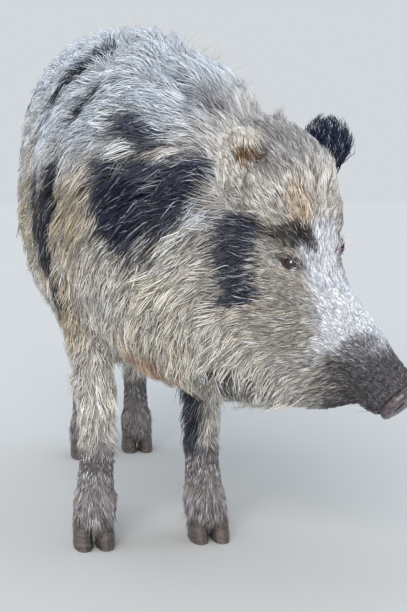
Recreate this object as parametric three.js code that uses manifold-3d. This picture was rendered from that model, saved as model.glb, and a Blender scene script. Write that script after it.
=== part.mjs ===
// Wild boar, a life-size standing model with its head lowered and turned to its left.
// Millimetres, +Z up. The boar faces -Y, so its left side is +X. The origin is on the floor,
// under the middle of the whole model. Every size includes the coat, out to its tips.
import * as THREE from "three";
import { mergeVertices } from "three/addons/utils/BufferGeometryUtils.js";
import Module from "manifold-3d";

const wasm = await Module();
wasm.setup();

// ---- Driving dimensions ----
const GAP = 0.4; // clearance between solids that meet
const STANCE = 700; // from the fore feet to the hind feet

// The head has its own frame: the middle of the nose disc, looking along its own -Y.
const HEAD = {
  nose: new THREE.Vector3(290, -330, 260),
  yawLeft: 49.5,
  pitchDown: 44.5,
  roll: -16,
};

// Cross-sections of the trunk, from the brisket to the buttocks: place of the widest point,
// half width, height above it and depth below it. A crown over 1 is a ridge, under 1 is broad.
const TRUNK = {
  brisket: { x: 0, y: -150, z: 490, half: 84, up: 120, down: 112, crown: 1 },
  breast: { x: 0, y: -95, z: 495, half: 132, up: 212, down: 190, crown: 1 },
  withers: { x: -2, y: 30, z: 500, half: 166, up: 279, down: 240, crown: 1.02 },
  girth: { x: -10, y: 165, z: 495, half: 163, up: 300, down: 240, crown: 0.9 },
  ribs: { x: -20, y: 320, z: 490, half: 160, up: 312, down: 230, crown: 0.82 },
  loin: { x: -28, y: 480, z: 500, half: 150, up: 292, down: 208, crown: 0.78 },
  croup: { x: -24, y: 620, z: 508, half: 146, up: 256, down: 178, crown: 0.78 },
  rump: { x: -8, y: 735, z: 515, half: 120, up: 186, down: 128, crown: 0.86 },
  buttocks: { x: 2, y: 792, z: 520, half: 66, up: 100, down: 74, crown: 1 },
};

// The neck bends down and to the left, with a deep ruff of hair that hangs under the jaw.
const NECK = {
  root: { x: 0, y: 60, z: 520, half: 116, up: 238, down: 205, crown: 1 },
  base: { x: 6, y: -50, z: 505, half: 150, up: 257, down: 234, crown: 1.02 },
  middle: { x: 40, y: -130, z: 490, half: 148, up: 246, down: 240, crown: 1.02 },
  poll: { x: 88, y: -190, z: 470, half: 124, up: 228, down: 232, crown: 1 },
  skull: { x: 140, y: -230, z: 425, half: 92, up: 184, down: 190, crown: 1 },
  throat: { x: 196, y: -256, z: 352, half: 64, up: 76, down: 117, crown: 1 },
  beard: { x: 236, y: -280, z: 300, half: 30, up: 34, down: 54, crown: 1 },
};

// Cross-sections of the head in its own frame, at a distance behind the nose disc.
const FACE = {
  lip: { x: 0, y: 6, z: 0, half: 33, up: 31, down: 36, crown: 1 },
  snout: { x: 0, y: 32, z: -6, half: 37, up: 34, down: 46, crown: 1 },
  bridge: { x: 0, y: 94, z: -20, half: 50, up: 61, down: 62, crown: 1 },
  cheek: { x: 0, y: 150, z: -27, half: 69, up: 68, down: 80, crown: 1 },
  eyes: { x: 0, y: 204, z: -22, half: 87, up: 78, down: 102, crown: 1 },
  brow: { x: 0, y: 252, z: -8, half: 100, up: 133, down: 122, crown: 0.96 },
  jowl: { x: 0, y: 302, z: 0, half: 113, up: 158, down: 124, crown: 0.94 },
  poll: { x: 0, y: 352, z: 0, half: 106, up: 160, down: 110, crown: 0.95 },
  nape: { x: 0, y: 394, z: 0, half: 84, up: 152, down: 80, crown: 1 },
};

const NOSE_DISC = { thick: 13, half: 39, up: 34, down: 33, nostril: 10.5, nostrilSide: 17 };
const MOUTH = { length: 104, width: 92, height: 2.4, below: 26, drop: 12 };
const EYE = { radius: 13.5, side: 48, behind: 224, above: 48.5, lid: [17, 10.5, 15] };

// One ear, from its root to its tip, in the head's frame for the left side.
const EAR = {
  root: { side: 72, y: 314, z: 84, half: 27, thick: 16 },
  bell: { side: 86, y: 326, z: 106, half: 37, thick: 12 },
  blade: { side: 97, y: 341, z: 128, half: 40, thick: 10 },
  point: { side: 104, y: 355, z: 147, half: 31, thick: 9 },
  tip: { side: 107, y: 365, z: 158, half: 12, thick: 7 },
};
const EAR_CUP = 0.42; // how deeply the ear is dished, as a share of its half width
// How each ear is held: where its back faces, how far its tip is moved from the leaf above,
// and its width as a share of that leaf's, since they are folded differently.
const EAR_TURN = {
  left: { inward: 0.66, back: 0.15, up: 0.5, outward: -17, behind: -4, above: -12, width: 0.85 },
  right: { inward: 0.15, back: 0.8, up: -0.55, outward: 1, behind: 9, above: -3, width: 1.1 },
};

// Legs, from inside the trunk to the hoof: the share of the way from the foot's side place to
// the hip's, place along the body from the foot, height, half width, reach forward and back.
const FORE_LEG = {
  shoulder: { lean: 1, y: 25, z: 560, half: 50, front: 80, back: 90 },
  arm: { lean: 1, y: 20, z: 450, half: 66, front: 88, back: 95 },
  elbow: { lean: 0.9, y: 22, z: 372, half: 58, front: 70, back: 80 },
  forearm: { lean: 0.5, y: 16, z: 296, half: 43, front: 46, back: 56 },
  knee: { lean: 0.1, y: 6, z: 214, half: 32, front: 35, back: 38 },
  cannon: { lean: 0, y: 6, z: 145, half: 28, front: 30, back: 33 },
  fetlock: { lean: 0, y: 4, z: 88, half: 31, front: 33, back: 38 },
  pastern: { lean: 0, y: -6, z: 56, half: 32, front: 35, back: 34 },
  coronet: { lean: 0, y: -13, z: 36, half: 25, front: 30, back: 24 },
};
const HIND_LEG = {
  hip: { lean: 1, y: -62, z: 600, half: 44, front: 80, back: 80 },
  thigh: { lean: 1, y: -72, z: 500, half: 66, front: 108, back: 104 },
  stifle: { lean: 0.8, y: -72, z: 410, half: 62, front: 96, back: 94 },
  gaskin: { lean: 0.4, y: -28, z: 330, half: 42, front: 60, back: 60 },
  hock: { lean: 0.1, y: 12, z: 245, half: 28, front: 37, back: 42 },
  cannon: { lean: 0, y: 8, z: 160, half: 24, front: 28, back: 32 },
  fetlock: { lean: 0, y: 2, z: 88, half: 28, front: 32, back: 38 },
  pastern: { lean: 0, y: -6, z: 56, half: 30, front: 34, back: 33 },
  coronet: { lean: 0, y: -13, z: 36, half: 24, front: 29, back: 24 },
};
const LEGS = {
  fore_left: { shape: FORE_LEG, hip: 94, foot: 78, toe: 8, y: 6, split: 214 },
  fore_right: { shape: FORE_LEG, hip: -94, foot: -84, toe: -8, y: -6, split: 214 },
  hind_left: { shape: HIND_LEG, hip: 74, foot: 66, toe: 0, y: STANCE + 22, split: 245 },
  hind_right: { shape: HIND_LEG, hip: -108, foot: -42, toe: 0, y: STANCE - 26, split: 245 },
};
const TOE_TURN = 150; // the foot swings out to its toe below this height
const HOOF = { long: 58, wide: 30, high: 46, toe: 14, spread: 16.5, slope: 12 };
const DEWCLAW = { long: 24, wide: 14, high: 28, side: 19, behind: 27, above: 45 };

// Thin cuts that part the flesh: a flat one at the shoulder, two behind and under the head,
// and one round the top of each leg.
const SHOULDER_CUT = { through: [0, -105, 500], facing: [0.33, -0.9, 0.25] };
const HEAD_CUT = { behind: 262, lean: 29, under: 122 };
const LEG_CUT = { skirt: 9, fore: 412, hind: 440 };

const TAIL = {
  dock: { x: 0, y: -36, z: 655, half: 26, up: 24, down: 24, crown: 1 },
  bend: { x: 0, y: 14, z: 628, half: 19, up: 17, down: 17, crown: 1 },
  hang: { x: -2, y: 31, z: 560, half: 13, up: 12, down: 12, crown: 1 },
  middle: { x: -4, y: 30, z: 490, half: 10, up: 10, down: 10, crown: 1 },
};
const TASSEL = {
  neck: { x: -4, y: 30, z: 489.5, half: 10, up: 10, down: 10, crown: 1 },
  full: { x: -5, y: 29, z: 440, half: 18, up: 17, down: 17, crown: 1 },
  low: { x: -6, y: 28, z: 385, half: 13, up: 12, down: 12, crown: 1 },
  end: { x: -6, y: 27, z: 350, half: 3, up: 3, down: 3, crown: 1 },
};

// ---- Materials ----
const finish = (color, roughness) =>
  new THREE.MeshStandardMaterial({ color, roughness, metalness: 0 });
const COAT = finish(0xb5a58c, 0.9);
const DARK_COAT = finish(0x1f2434, 0.85);
const LEG_COAT = finish(0x8d8272, 0.9);
const NOSE = finish(0x5d4a48, 0.55);
const HORN = finish(0x39332e, 0.5);
const EYEBALL = finish(0x1d120c, 0.12);

// ---- Axes ----
const X = new THREE.Vector3(1, 0, 0);
const Y = new THREE.Vector3(0, 1, 0);
const Z = new THREE.Vector3(0, 0, 1);
const FORWARD = Y.clone().negate();

// ---- Lofting ----
// Every measure of a row of named stations, eased between them at a share of the way.
function stationAt(stations, share) {
  const all = Object.values(stations);
  const ease = (key) =>
    new THREE.SplineCurve(all.map((s, i) => new THREE.Vector2(i, s[key]))).getPoint(share).y;
  return Object.fromEntries(Object.keys(all[0]).map((key) => [key, ease(key)]));
}

const placeOf = (s) => new THREE.Vector3(s.x, s.y, s.z);

// The direction in which a row of stations runs, at a share of the way.
function headingAt(stations, share) {
  const step = 0.01;
  const ahead = placeOf(stationAt(stations, Math.min(1, share + step)));
  return ahead.sub(placeOf(stationAt(stations, Math.max(0, share - step)))).normalize();
}

// An oval of points: its top and bottom may differ in height and in how broad they are.
function ovalRing({ centre, side, up, half, above, below, segments, crown = 1, keel = 1 }) {
  return Array.from({ length: segments }, (_, i) => {
    const angle = ((i + 0.5) / segments) * 2 * Math.PI;
    const power = Math.sin(angle) > 0 ? crown : keel;
    const bulge = (value) => Math.sign(value) * Math.abs(value) ** power;
    return centre
      .clone()
      .addScaledVector(side, half * bulge(Math.cos(angle)))
      .addScaledVector(up, bulge(Math.sin(angle)) * (Math.sin(angle) > 0 ? above : below));
  });
}

// A closed solid through rings of equal count, with a fan at each end.
function solidFromRings(rings) {
  const count = rings[0].length;
  const ends = [rings[0], rings.at(-1)].map((ring) =>
    ring.reduce((sum, p) => sum.add(p), new THREE.Vector3()).divideScalar(count),
  );
  const points = [...rings.flat(), ...ends];
  const faces = [];
  for (let r = 0; r < rings.length - 1; r++)
    for (let i = 0; i < count; i++) {
      const a = r * count + i;
      const b = r * count + ((i + 1) % count);
      faces.push(a, b, b + count, a, b + count, a + count);
    }
  const last = (rings.length - 1) * count;
  for (let i = 0; i < count; i++) {
    const next = (i + 1) % count;
    faces.push(points.length - 2, next, i);
    faces.push(points.length - 1, last + i, last + next);
  }
  const geometry = new THREE.BufferGeometry().setFromPoints(points).setIndex(faces);
  const solid = asSolid(geometry);
  return solid.volume() > 0 ? solid : asSolid(geometry.setIndex(faces.toReversed()));
}

// A loft through stations. `axes` gives each ring's side and up for the way the loft runs.
function loft(stations, { axes, segments, rings, keel = 1, grow = 0 }) {
  const made = [];
  for (let r = 0; r <= rings; r++) {
    const s = stationAt(stations, r / rings);
    const size = { half: s.half + grow, above: s.up + grow, below: s.down + grow };
    const frame = axes(headingAt(stations, r / rings));
    made.push(ovalRing({ centre: placeOf(s), ...frame, ...size, crown: s.crown, keel, segments }));
  }
  return solidFromRings(made);
}

// Ways to set the rings: upright and square to +Y, upright and square to the run, level, or
// square to a run that hangs down.
const acrossBody = () => ({ side: X, up: Z });
const acrossRun = (run) => ({
  side: new THREE.Vector3(-run.y, run.x, 0).normalize(),
  up: Z,
});
const level = () => ({ side: X, up: FORWARD });
const hanging = (run) => ({
  side: X,
  up: new THREE.Vector3().crossVectors(run, X).normalize(),
});

// ---- manifold-3d and three.js ----
function asSolid(geometry) {
  const bare = new THREE.BufferGeometry()
    .setAttribute("position", geometry.getAttribute("position"))
    .setIndex(geometry.index);
  const merged = mergeVertices(bare, 1e-4);
  return new wasm.Manifold(
    new wasm.Mesh({
      numProp: 3,
      vertProperties: merged.attributes.position.array,
      triVerts: new Uint32Array(merged.index.array),
    }),
  );
}

// A three.js shape, placed by a matrix, as a solid.
const placed = (geometry, matrix) => asSolid(geometry.clone().applyMatrix4(matrix));

// A block between two corners.
function block(low, high) {
  const size = high.map((value, i) => value - low[i]);
  const middle = high.map((value, i) => (value + low[i]) / 2);
  return placed(new THREE.BoxGeometry(...size), new THREE.Matrix4().makeTranslation(...middle));
}

// The largest body of a solid, without slivers that a cut may leave.
const mainBody = (solid) =>
  solid.decompose().reduce((best, body) => (body.volume() > best.volume() ? body : best));

function nodeMesh(name, solid, material) {
  const { vertProperties, triVerts, numProp, numVert } = mainBody(solid).getMesh();
  const position = new Float32Array(numVert * 3);
  for (let i = 0; i < numVert; i++)
    position.set(vertProperties.subarray(i * numProp, i * numProp + 3), i * 3);
  const geometry = new THREE.BufferGeometry()
    .setAttribute("position", new THREE.BufferAttribute(position, 3))
    .setIndex(new THREE.BufferAttribute(triVerts, 1));
  geometry.computeVertexNormals();
  const mesh = new THREE.Mesh(geometry, material);
  mesh.name = name;
  return mesh;
}

// ---- The head ----
const headFrame = new THREE.Matrix4().compose(
  HEAD.nose,
  new THREE.Quaternion().setFromEuler(
    new THREE.Euler(
      THREE.MathUtils.degToRad(HEAD.pitchDown),
      THREE.MathUtils.degToRad(HEAD.roll),
      THREE.MathUtils.degToRad(HEAD.yawLeft),
      "ZXY",
    ),
  ),
  new THREE.Vector3(1, 1, 1),
);
const inHead = (solid) => solid.transform(headFrame.elements);

const headBlock = (grow = 0) =>
  inHead(loft(FACE, { axes: acrossBody, segments: 26, rings: 16, keel: 0.95, grow }));

// The flat disc at the end of the snout, with its two nostrils.
function noseDisc() {
  const { thick, half, up, down, nostril, nostrilSide } = NOSE_DISC;
  const steps = [
    { y: -thick * 0.5, size: 0.86 },
    { y: -thick * 0.28, size: 0.98 },
    { y: thick * 0.15, size: 1 },
    { y: thick * 0.5, size: 0.93 },
  ];
  const rings = steps.map(({ y, size }) =>
    ovalRing({
      centre: new THREE.Vector3(0, y, 0),
      side: X,
      up: Z,
      half: half * size,
      above: up * size,
      below: down * size,
      segments: 18,
      crown: 0.9,
      keel: 0.9,
    }),
  );
  let disc = solidFromRings(rings);
  for (const side of [-1, 1]) {
    const hole = new THREE.SphereGeometry(nostril, 9, 6);
    const where = new THREE.Matrix4()
      .makeTranslation(side * nostrilSide, -thick * 0.5, 1)
      .multiply(new THREE.Matrix4().makeScale(0.8, 0.95, 1.15));
    disc = disc.subtract(placed(hole, where));
  }
  return inHead(disc);
}

// The slit of the closed mouth, from the chin back to its corner.
function mouthSlit() {
  const { length, width, height, below, drop } = MOUTH;
  const slit = new THREE.BoxGeometry(width, length, height);
  const tilt = Math.atan2(drop, length);
  const where = new THREE.Matrix4()
    .makeTranslation(0, length / 2 + 2, -below)
    .multiply(new THREE.Matrix4().makeRotationX(-tilt));
  return inHead(placed(slit, where));
}

// The frame of an eye: its own X looks out through the lids.
function eyeFrame(side) {
  const outward = new THREE.Vector3(side * 0.8, -0.3, 0.5).normalize();
  const along = new THREE.Vector3(0, 1, 0.25).cross(outward).cross(outward).negate().normalize();
  const upward = new THREE.Vector3().crossVectors(outward, along);
  return new THREE.Matrix4()
    .makeBasis(outward, along, upward)
    .setPosition(side * EYE.side, EYE.behind, EYE.above);
}

const eyeball = (side) =>
  inHead(placed(new THREE.SphereGeometry(EYE.radius, 12, 9), eyeFrame(side)));

// The opening that the eye sits in: room for the ball, and the gap between the lids.
function eyeSocket(side) {
  const frame = eyeFrame(side);
  const hollow = placed(new THREE.SphereGeometry(EYE.radius + GAP, 12, 9), frame);
  const [deep, high, long] = EYE.lid;
  const gap = new THREE.SphereGeometry(1, 12, 8)
    .scale(deep, long, high)
    .translate(deep * 0.75, 0, 0);
  return inHead(hollow.add(placed(gap, frame)));
}

// An ear: a leaf that is dished towards the front and side.
function ear(side, turn) {
  const rings = 8;
  const segments = 14;
  const stations = Object.fromEntries(
    Object.entries(EAR).map(([name, s]) => [name, { ...s, x: side * s.side }]),
  );
  const made = [];
  for (let r = 0; r <= rings; r++) {
    const s = stationAt(stations, r / rings);
    const run = headingAt(stations, r / rings);
    const back = new THREE.Vector3(-side * turn.inward, turn.back, turn.up);
    const wide = new THREE.Vector3().crossVectors(run, back).normalize();
    back.crossVectors(wide, run).normalize();
    const centre = placeOf(s);
    const lean = new THREE.Vector3(side * turn.outward, turn.behind, turn.above);
    centre.addScaledVector(lean, r / rings);
    const ring = ovalRing({
      centre,
      side: wide,
      up: back,
      half: s.half * turn.width,
      above: s.thick / 2,
      below: s.thick / 2,
      segments,
    });
    // The rims come forward of the middle, which makes the dish.
    for (const p of ring) {
      const across = p.clone().sub(centre).dot(wide) / s.half;
      p.addScaledVector(back, -EAR_CUP * s.half * across * across);
    }
    made.push(ring);
  }
  return inHead(solidFromRings(made));
}

// ---- Body, legs and tail ----
const trunk = (grow = 0) => loft(TRUNK, { axes: acrossBody, segments: 28, rings: 15, grow });
const neck = (grow = 0) => loft(NECK, { axes: acrossRun, segments: 26, rings: 12, grow });

function leg({ shape, hip, foot, toe, y }, grow = 0) {
  const stations = Object.fromEntries(
    Object.entries(shape).map(([name, s]) => {
      const turn = Math.max(0, 1 - s.z / TOE_TURN);
      const x = foot + (hip - foot) * s.lean + toe * turn;
      const place = { x, y: y + s.y, z: s.z };
      return [name, { ...place, half: s.half, up: s.front, down: s.back, crown: 1 }];
    }),
  );
  return loft(stations, { axes: level, segments: 12, rings: 12, grow });
}

// A horn claw on a flat sole: rings from the coronet down to the floor.
function claw({ x, y, floor, long, wide, high, toe, slope = 0, segments, grow = 0 }) {
  const steps = [
    { rise: 0, stretch: 1, toe },
    { rise: 0.2, stretch: 1, toe: toe * 0.75 },
    { rise: 0.65, stretch: 0.92, toe: 0 },
    { rise: 1, stretch: 0.7, toe: -toe * 0.5 },
  ];
  const rings = steps.map((s) => {
    const ring = ovalRing({
      centre: new THREE.Vector3(x, y, floor + s.rise * high),
      side: X,
      up: FORWARD,
      half: (wide / 2) * s.stretch + grow,
      above: (long / 2) * s.stretch + s.toe + grow,
      below: (long / 2) * s.stretch + grow,
      segments,
      crown: 0.85,
      keel: 0.85,
    });
    for (const p of ring) p.z += s.rise * slope * ((p.y - y) / long);
    return ring;
  });
  return solidFromRings(rings);
}

// The two hooves and two dewclaws of a foot, those nearer the other legs first.
function horns({ foot, toe, y }, grow = 0) {
  const inward = -Math.sign(foot);
  const x = foot + toe;
  return Object.fromEntries(
    [inward, -inward].flatMap((side) => {
      const place = side === inward ? "inner" : "outer";
      const { spread, ...hoof } = HOOF;
      const hoofAt = { x: x + side * spread, y: y - 14, floor: 0 };
      const { side: aside, behind, above, ...dewclaw } = DEWCLAW;
      const clawAt = { x: x + side * aside, y: y + behind, floor: above - DEWCLAW.high / 2 };
      return [
        [`hoof_${place}`, claw({ ...hoof, ...hoofAt, segments: 10, grow })],
        [`dewclaw_${place}`, claw({ ...dewclaw, ...clawAt, toe: -2, segments: 8, grow })],
      ];
    }),
  );
}

function tailPiece(stations) {
  const hung = Object.fromEntries(
    Object.entries(stations).map(([name, s]) => [name, { ...s, y: TRUNK.buttocks.y + s.y }]),
  );
  return loft(hung, { axes: hanging, segments: 10, rings: 7 });
}

// ---- Cuts ----
const REACH = 3000; // well beyond the boar

// The half of space in front of the shoulder, moved along by a margin.
function aheadOfShoulder(margin) {
  const facing = new THREE.Vector3(...SHOULDER_CUT.facing).normalize();
  const centre = new THREE.Vector3(...SHOULDER_CUT.through).addScaledVector(
    facing,
    margin + REACH / 2,
  );
  const turn = new THREE.Quaternion().setFromUnitVectors(Z, facing);
  const matrix = new THREE.Matrix4().compose(centre, turn, new THREE.Vector3(1, 1, 1));
  return placed(new THREE.BoxGeometry(REACH, REACH, REACH), matrix);
}

// The room of the head: ahead of a plane that leans from the poll to the corner of the jaw,
// and above the throat.
function headRoom(margin) {
  const lean = new THREE.Matrix4().makeRotationX(-THREE.MathUtils.degToRad(HEAD_CUT.lean));
  const ahead = new THREE.Matrix4()
    .makeTranslation(0, HEAD_CUT.behind, 0)
    .multiply(lean)
    .multiply(new THREE.Matrix4().makeTranslation(0, margin - REACH / 2, 0));
  const front = placed(new THREE.BoxGeometry(REACH, REACH, REACH), ahead);
  const above = block([-REACH, -REACH, -HEAD_CUT.under - margin], [REACH, REACH, REACH]);
  return inHead(front.intersect(above));
}

// The room of a leg: the limb with a skirt round it, up to its own height.
function legRoom(name, place, margin) {
  const height = LEG_CUT[name.slice(0, 4)];
  return leg(place, LEG_CUT.skirt + margin).intersect(below(height + margin));
}

const below = (z) => block([-REACH, -REACH, -REACH], [REACH, REACH, z]);

// ---- Putting the boar together ----
const boar = new THREE.Group();
const add = (name, solid, material) => boar.add(nodeMesh(name, solid, material));

const limbs = Object.entries(LEGS).map(([name, place]) => ({ name, place, solid: leg(place) }));
let flesh = trunk().add(neck()).add(headBlock());
for (const limb of limbs) flesh = flesh.add(limb.solid);
for (const limb of limbs)
  for (const horn of Object.values(horns(limb.place, GAP))) flesh = flesh.subtract(horn);

// The disc closes the snout, whose end is cut flat for it.
const snoutEnd = NOSE_DISC.thick / 2 + GAP;
flesh = flesh.subtract(inHead(block([-60, snoutEnd - 40, -60], [60, snoutEnd, 60])));
flesh = flesh.subtract(mouthSlit());
add("nose_disc", noseDisc(), NOSE);

for (const [name, side] of Object.entries({ left: 1, right: -1 })) {
  flesh = flesh.subtract(eyeSocket(side));
  add(`eye_${name}`, eyeball(side), EYEBALL);
  const grown = headBlock(GAP).add(neck(GAP)).add(trunk(GAP));
  add(`ear_${name}`, ear(side, EAR_TURN[name]).subtract(grown), name === "left" ? DARK_COAT : COAT);
}

const half = GAP / 2;
add("head", flesh.intersect(headRoom(-half)), COAT);
const headless = flesh.subtract(headRoom(half));
add("neck", headless.intersect(aheadOfShoulder(half)), COAT);
let body = headless.subtract(aheadOfShoulder(-half));
for (const { name, place } of limbs) {
  const limb = body.intersect(legRoom(name, place, -half));
  body = body.subtract(legRoom(name, place, half));
  add(`${name}_upper_leg`, limb.subtract(below(place.split + half)), COAT);
  add(`${name}_lower_leg`, limb.intersect(below(place.split - half)), LEG_COAT);
  for (const [horn, solid] of Object.entries(horns(place))) add(`${name}_${horn}`, solid, HORN);
}
add("trunk", body, COAT);
add("tail", tailPiece(TAIL).subtract(trunk(GAP)), COAT);
add("tail_tassel", tailPiece(TASSEL), DARK_COAT);

// The origin goes to the floor under the middle of the model.
boar.updateMatrixWorld(true);
const box = new THREE.Box3().setFromObject(boar, true);
const centre = box.getCenter(new THREE.Vector3());
boar.position.set(-centre.x, -centre.y, -box.min.z);

const model = new THREE.Group();
model.add(boar);
export default model;
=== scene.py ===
"""A life-size wild boar with its head lowered and turned to its left.

Its pieces are the skin, the coat, the eyes, the nose disc, the hooves and the bristles. Everything is in
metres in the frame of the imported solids: the boar faces -Y, its left side is +X and the floor is Z = 0. The
solids reach out to the tips of the coat, so the skin lies inside them by the coat's depth.
"""

import logging
import math
from dataclasses import dataclass, field
from enum import Enum

import bmesh
import bpy
import numpy as np
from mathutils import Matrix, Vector
from mathutils.bvhtree import BVHTree
from mathutils.kdtree import KDTree


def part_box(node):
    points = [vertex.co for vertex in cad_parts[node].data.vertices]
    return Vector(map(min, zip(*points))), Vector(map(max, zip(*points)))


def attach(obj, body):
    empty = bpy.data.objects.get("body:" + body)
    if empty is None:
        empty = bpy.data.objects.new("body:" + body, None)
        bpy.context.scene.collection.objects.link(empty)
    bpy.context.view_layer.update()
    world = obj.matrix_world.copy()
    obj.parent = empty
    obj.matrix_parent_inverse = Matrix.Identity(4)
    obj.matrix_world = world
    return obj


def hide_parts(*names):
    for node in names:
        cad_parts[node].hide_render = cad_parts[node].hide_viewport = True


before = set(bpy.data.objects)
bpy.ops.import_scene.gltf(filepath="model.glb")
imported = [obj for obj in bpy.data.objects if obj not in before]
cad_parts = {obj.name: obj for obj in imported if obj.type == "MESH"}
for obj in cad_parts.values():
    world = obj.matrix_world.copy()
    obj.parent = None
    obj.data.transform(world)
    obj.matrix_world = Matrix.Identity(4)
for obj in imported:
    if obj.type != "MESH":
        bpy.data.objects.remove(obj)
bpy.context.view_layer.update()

logging.basicConfig(level=logging.INFO, format="%(message)s")
log = logging.getLogger("boar")

Array = np.ndarray
Triple = tuple[float, float, float]
SEED = 2613
LEGS = ("fore_left", "fore_right", "hind_left", "hind_right")
FLESH = ("head", "neck", "trunk", "ear_left", "ear_right", "tail") + tuple(
    f"{leg}_{part}" for leg in LEGS for part in ("upper_leg", "lower_leg")
)
BODY_MIDDLE_X = -0.084  # the trunk's plane of symmetry
EYES_BEHIND_NOSE = 0.224
EYES_ABOVE_NOSE = 0.0485
WELD = 2e-5  # corners of a solid's loose triangles that lie closer are one


# ---- Numbers and vectors ----


def unit(vectors: Array) -> Array:
    """Vectors of length one.

    Args:
        vectors: Rows of vectors, or one vector.

    Returns:
        The same directions, each of length one.
    """
    size = np.linalg.norm(vectors, axis=-1, keepdims=True)
    return vectors / np.maximum(size, 1e-9)


def smoothstep(low: float, high: float, values: Array) -> Array:
    """An eased step from 0 at low to 1 at high."""
    share = np.clip((values - low) / (high - low), 0.0, 1.0)
    return share * share * (3.0 - 2.0 * share)


def linear(red: int, green: int, blue: int) -> Triple:
    """A screen colour of 0 to 255 as scene linear light."""
    return tuple(((c / 255 + 0.055) / 1.055) ** 2.4 for c in (red, green, blue))


def value_noise(points: Array, size: float, seed: int) -> Array:
    """Smooth noise between -1 and 1 at points in space.

    Args:
        points: Rows of places, in metres.
        size: The width of one blotch, in metres.
        seed: A number that picks the pattern.

    Returns:
        One value for each point.
    """
    scaled = points / size + seed * 17.31
    cell = np.floor(scaled).astype(np.int64)
    share = scaled - cell
    share = share * share * (3.0 - 2.0 * share)
    total = np.zeros(len(points))
    for corner in range(8):
        step = np.array([corner & 1, corner >> 1 & 1, corner >> 2 & 1])
        at = cell + step
        mixed = at[:, 0] * 73856093 ^ at[:, 1] * 19349663 ^ at[:, 2] * 83492791 ^ seed * 265443
        mixed = (mixed ^ mixed >> 13) * 1274126177 & 0x7FFFFFFF
        value = mixed / 0x3FFFFFFF - 1.0
        total += value * np.prod(np.where(step, share, 1.0 - share), axis=1)
    return total


def distance_to_run(points: Array, start: Triple, end: Triple) -> tuple[Array, Array]:
    """How far points are from a straight run, and how far along it.

    Args:
        points: Rows of places.
        start: Where the run begins.
        end: Where it ends.

    Returns:
        The distance of each point, and its share of the way along the run.
    """
    first, last = np.array(start), np.array(end)
    along = last - first
    share = np.clip((points - first) @ along / max(along @ along, 1e-12), 0.0, 1.0)
    nearest = first + share[:, None] * along
    return np.linalg.norm(points - nearest, axis=1), share


# ---- The head's own frame ----


@dataclass(frozen=True)
class HeadFrame:
    """The head's frame: from the nose disc, with axes to its left, back to the nape and up to the brow."""

    origin: Array
    axes: Array

    @classmethod
    def from_solids(cls) -> "HeadFrame":
        """The frame that the places of the nose and of both eyes give."""
        nose, left, right = (
            np.mean([np.array(corner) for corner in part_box(node)], axis=0)
            for node in ("nose_disc", "eye_left", "eye_right")
        )
        side = unit(left - right)
        reach = (left + right) / 2 - nose
        tilt = math.atan2(EYES_ABOVE_NOSE, EYES_BEHIND_NOSE)
        upward = unit(np.cross(side, reach))
        back = unit(unit(reach) * math.cos(tilt) - upward * math.sin(tilt))
        return cls(nose, np.array([side, back, unit(np.cross(side, back))]))

    def inside(self, points: Array) -> Array:
        """Places of the frame of the solids, in the head's frame."""
        return (points - self.origin) @ self.axes.T

    def outside(self, points: Array) -> Array:
        """Places of the head's frame, in the frame of the solids."""
        return points @ self.axes + self.origin

    def turned(self, directions: Array) -> Array:
        """Directions of the head's frame, in the frame of the solids."""
        return directions @ self.axes


HEAD = HeadFrame.from_solids()


# ---- The coat's colours and lie ----


class Tone(Enum):
    """The colours of the hair, in scene linear light."""

    CREAM = linear(238, 231, 222)
    # Pale hair with a painted bluish sky highlight, for the top of the back and the neck.
    PALE_WITH_SKY_HIGHLIGHT = linear(222, 230, 243)
    IVORY = linear(248, 238, 222)
    BUFF = linear(226, 202, 176)
    TAN = linear(196, 180, 154)
    GRIZZLE = linear(184, 176, 165)
    PEPPER = linear(172, 168, 168)
    ASH = linear(128, 122, 126)
    RUST = linear(158, 92, 46)
    # Brown painted shade, for the near ear's cup under its rim.
    BROWN_PAINTED_SHADE = linear(118, 88, 52)
    PLUM = linear(62, 50, 68)
    SMOKE = linear(94, 90, 94)
    LEG = linear(160, 153, 154)
    LILAC = linear(164, 156, 172)
    BLUE_BLACK = linear(22, 34, 64)
    INK = linear(24, 27, 38)
    BROWN_BLACK = linear(48, 42, 38)
    SNOW = linear(234, 238, 248)


@dataclass(frozen=True)
class Guide:
    """How the coat lies and looks at one place of the body.

    Attributes:
        place: Where it is, in metres.
        way: The direction that the hair takes, before it is laid along the skin.
        length: How long the hair is, in millimetres.
        lift: How far the hair stands off the skin at its root, in degrees.
        tone: Its colour.
    """

    place: Triple
    way: Triple
    length: float
    lift: float
    tone: Tone


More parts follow.
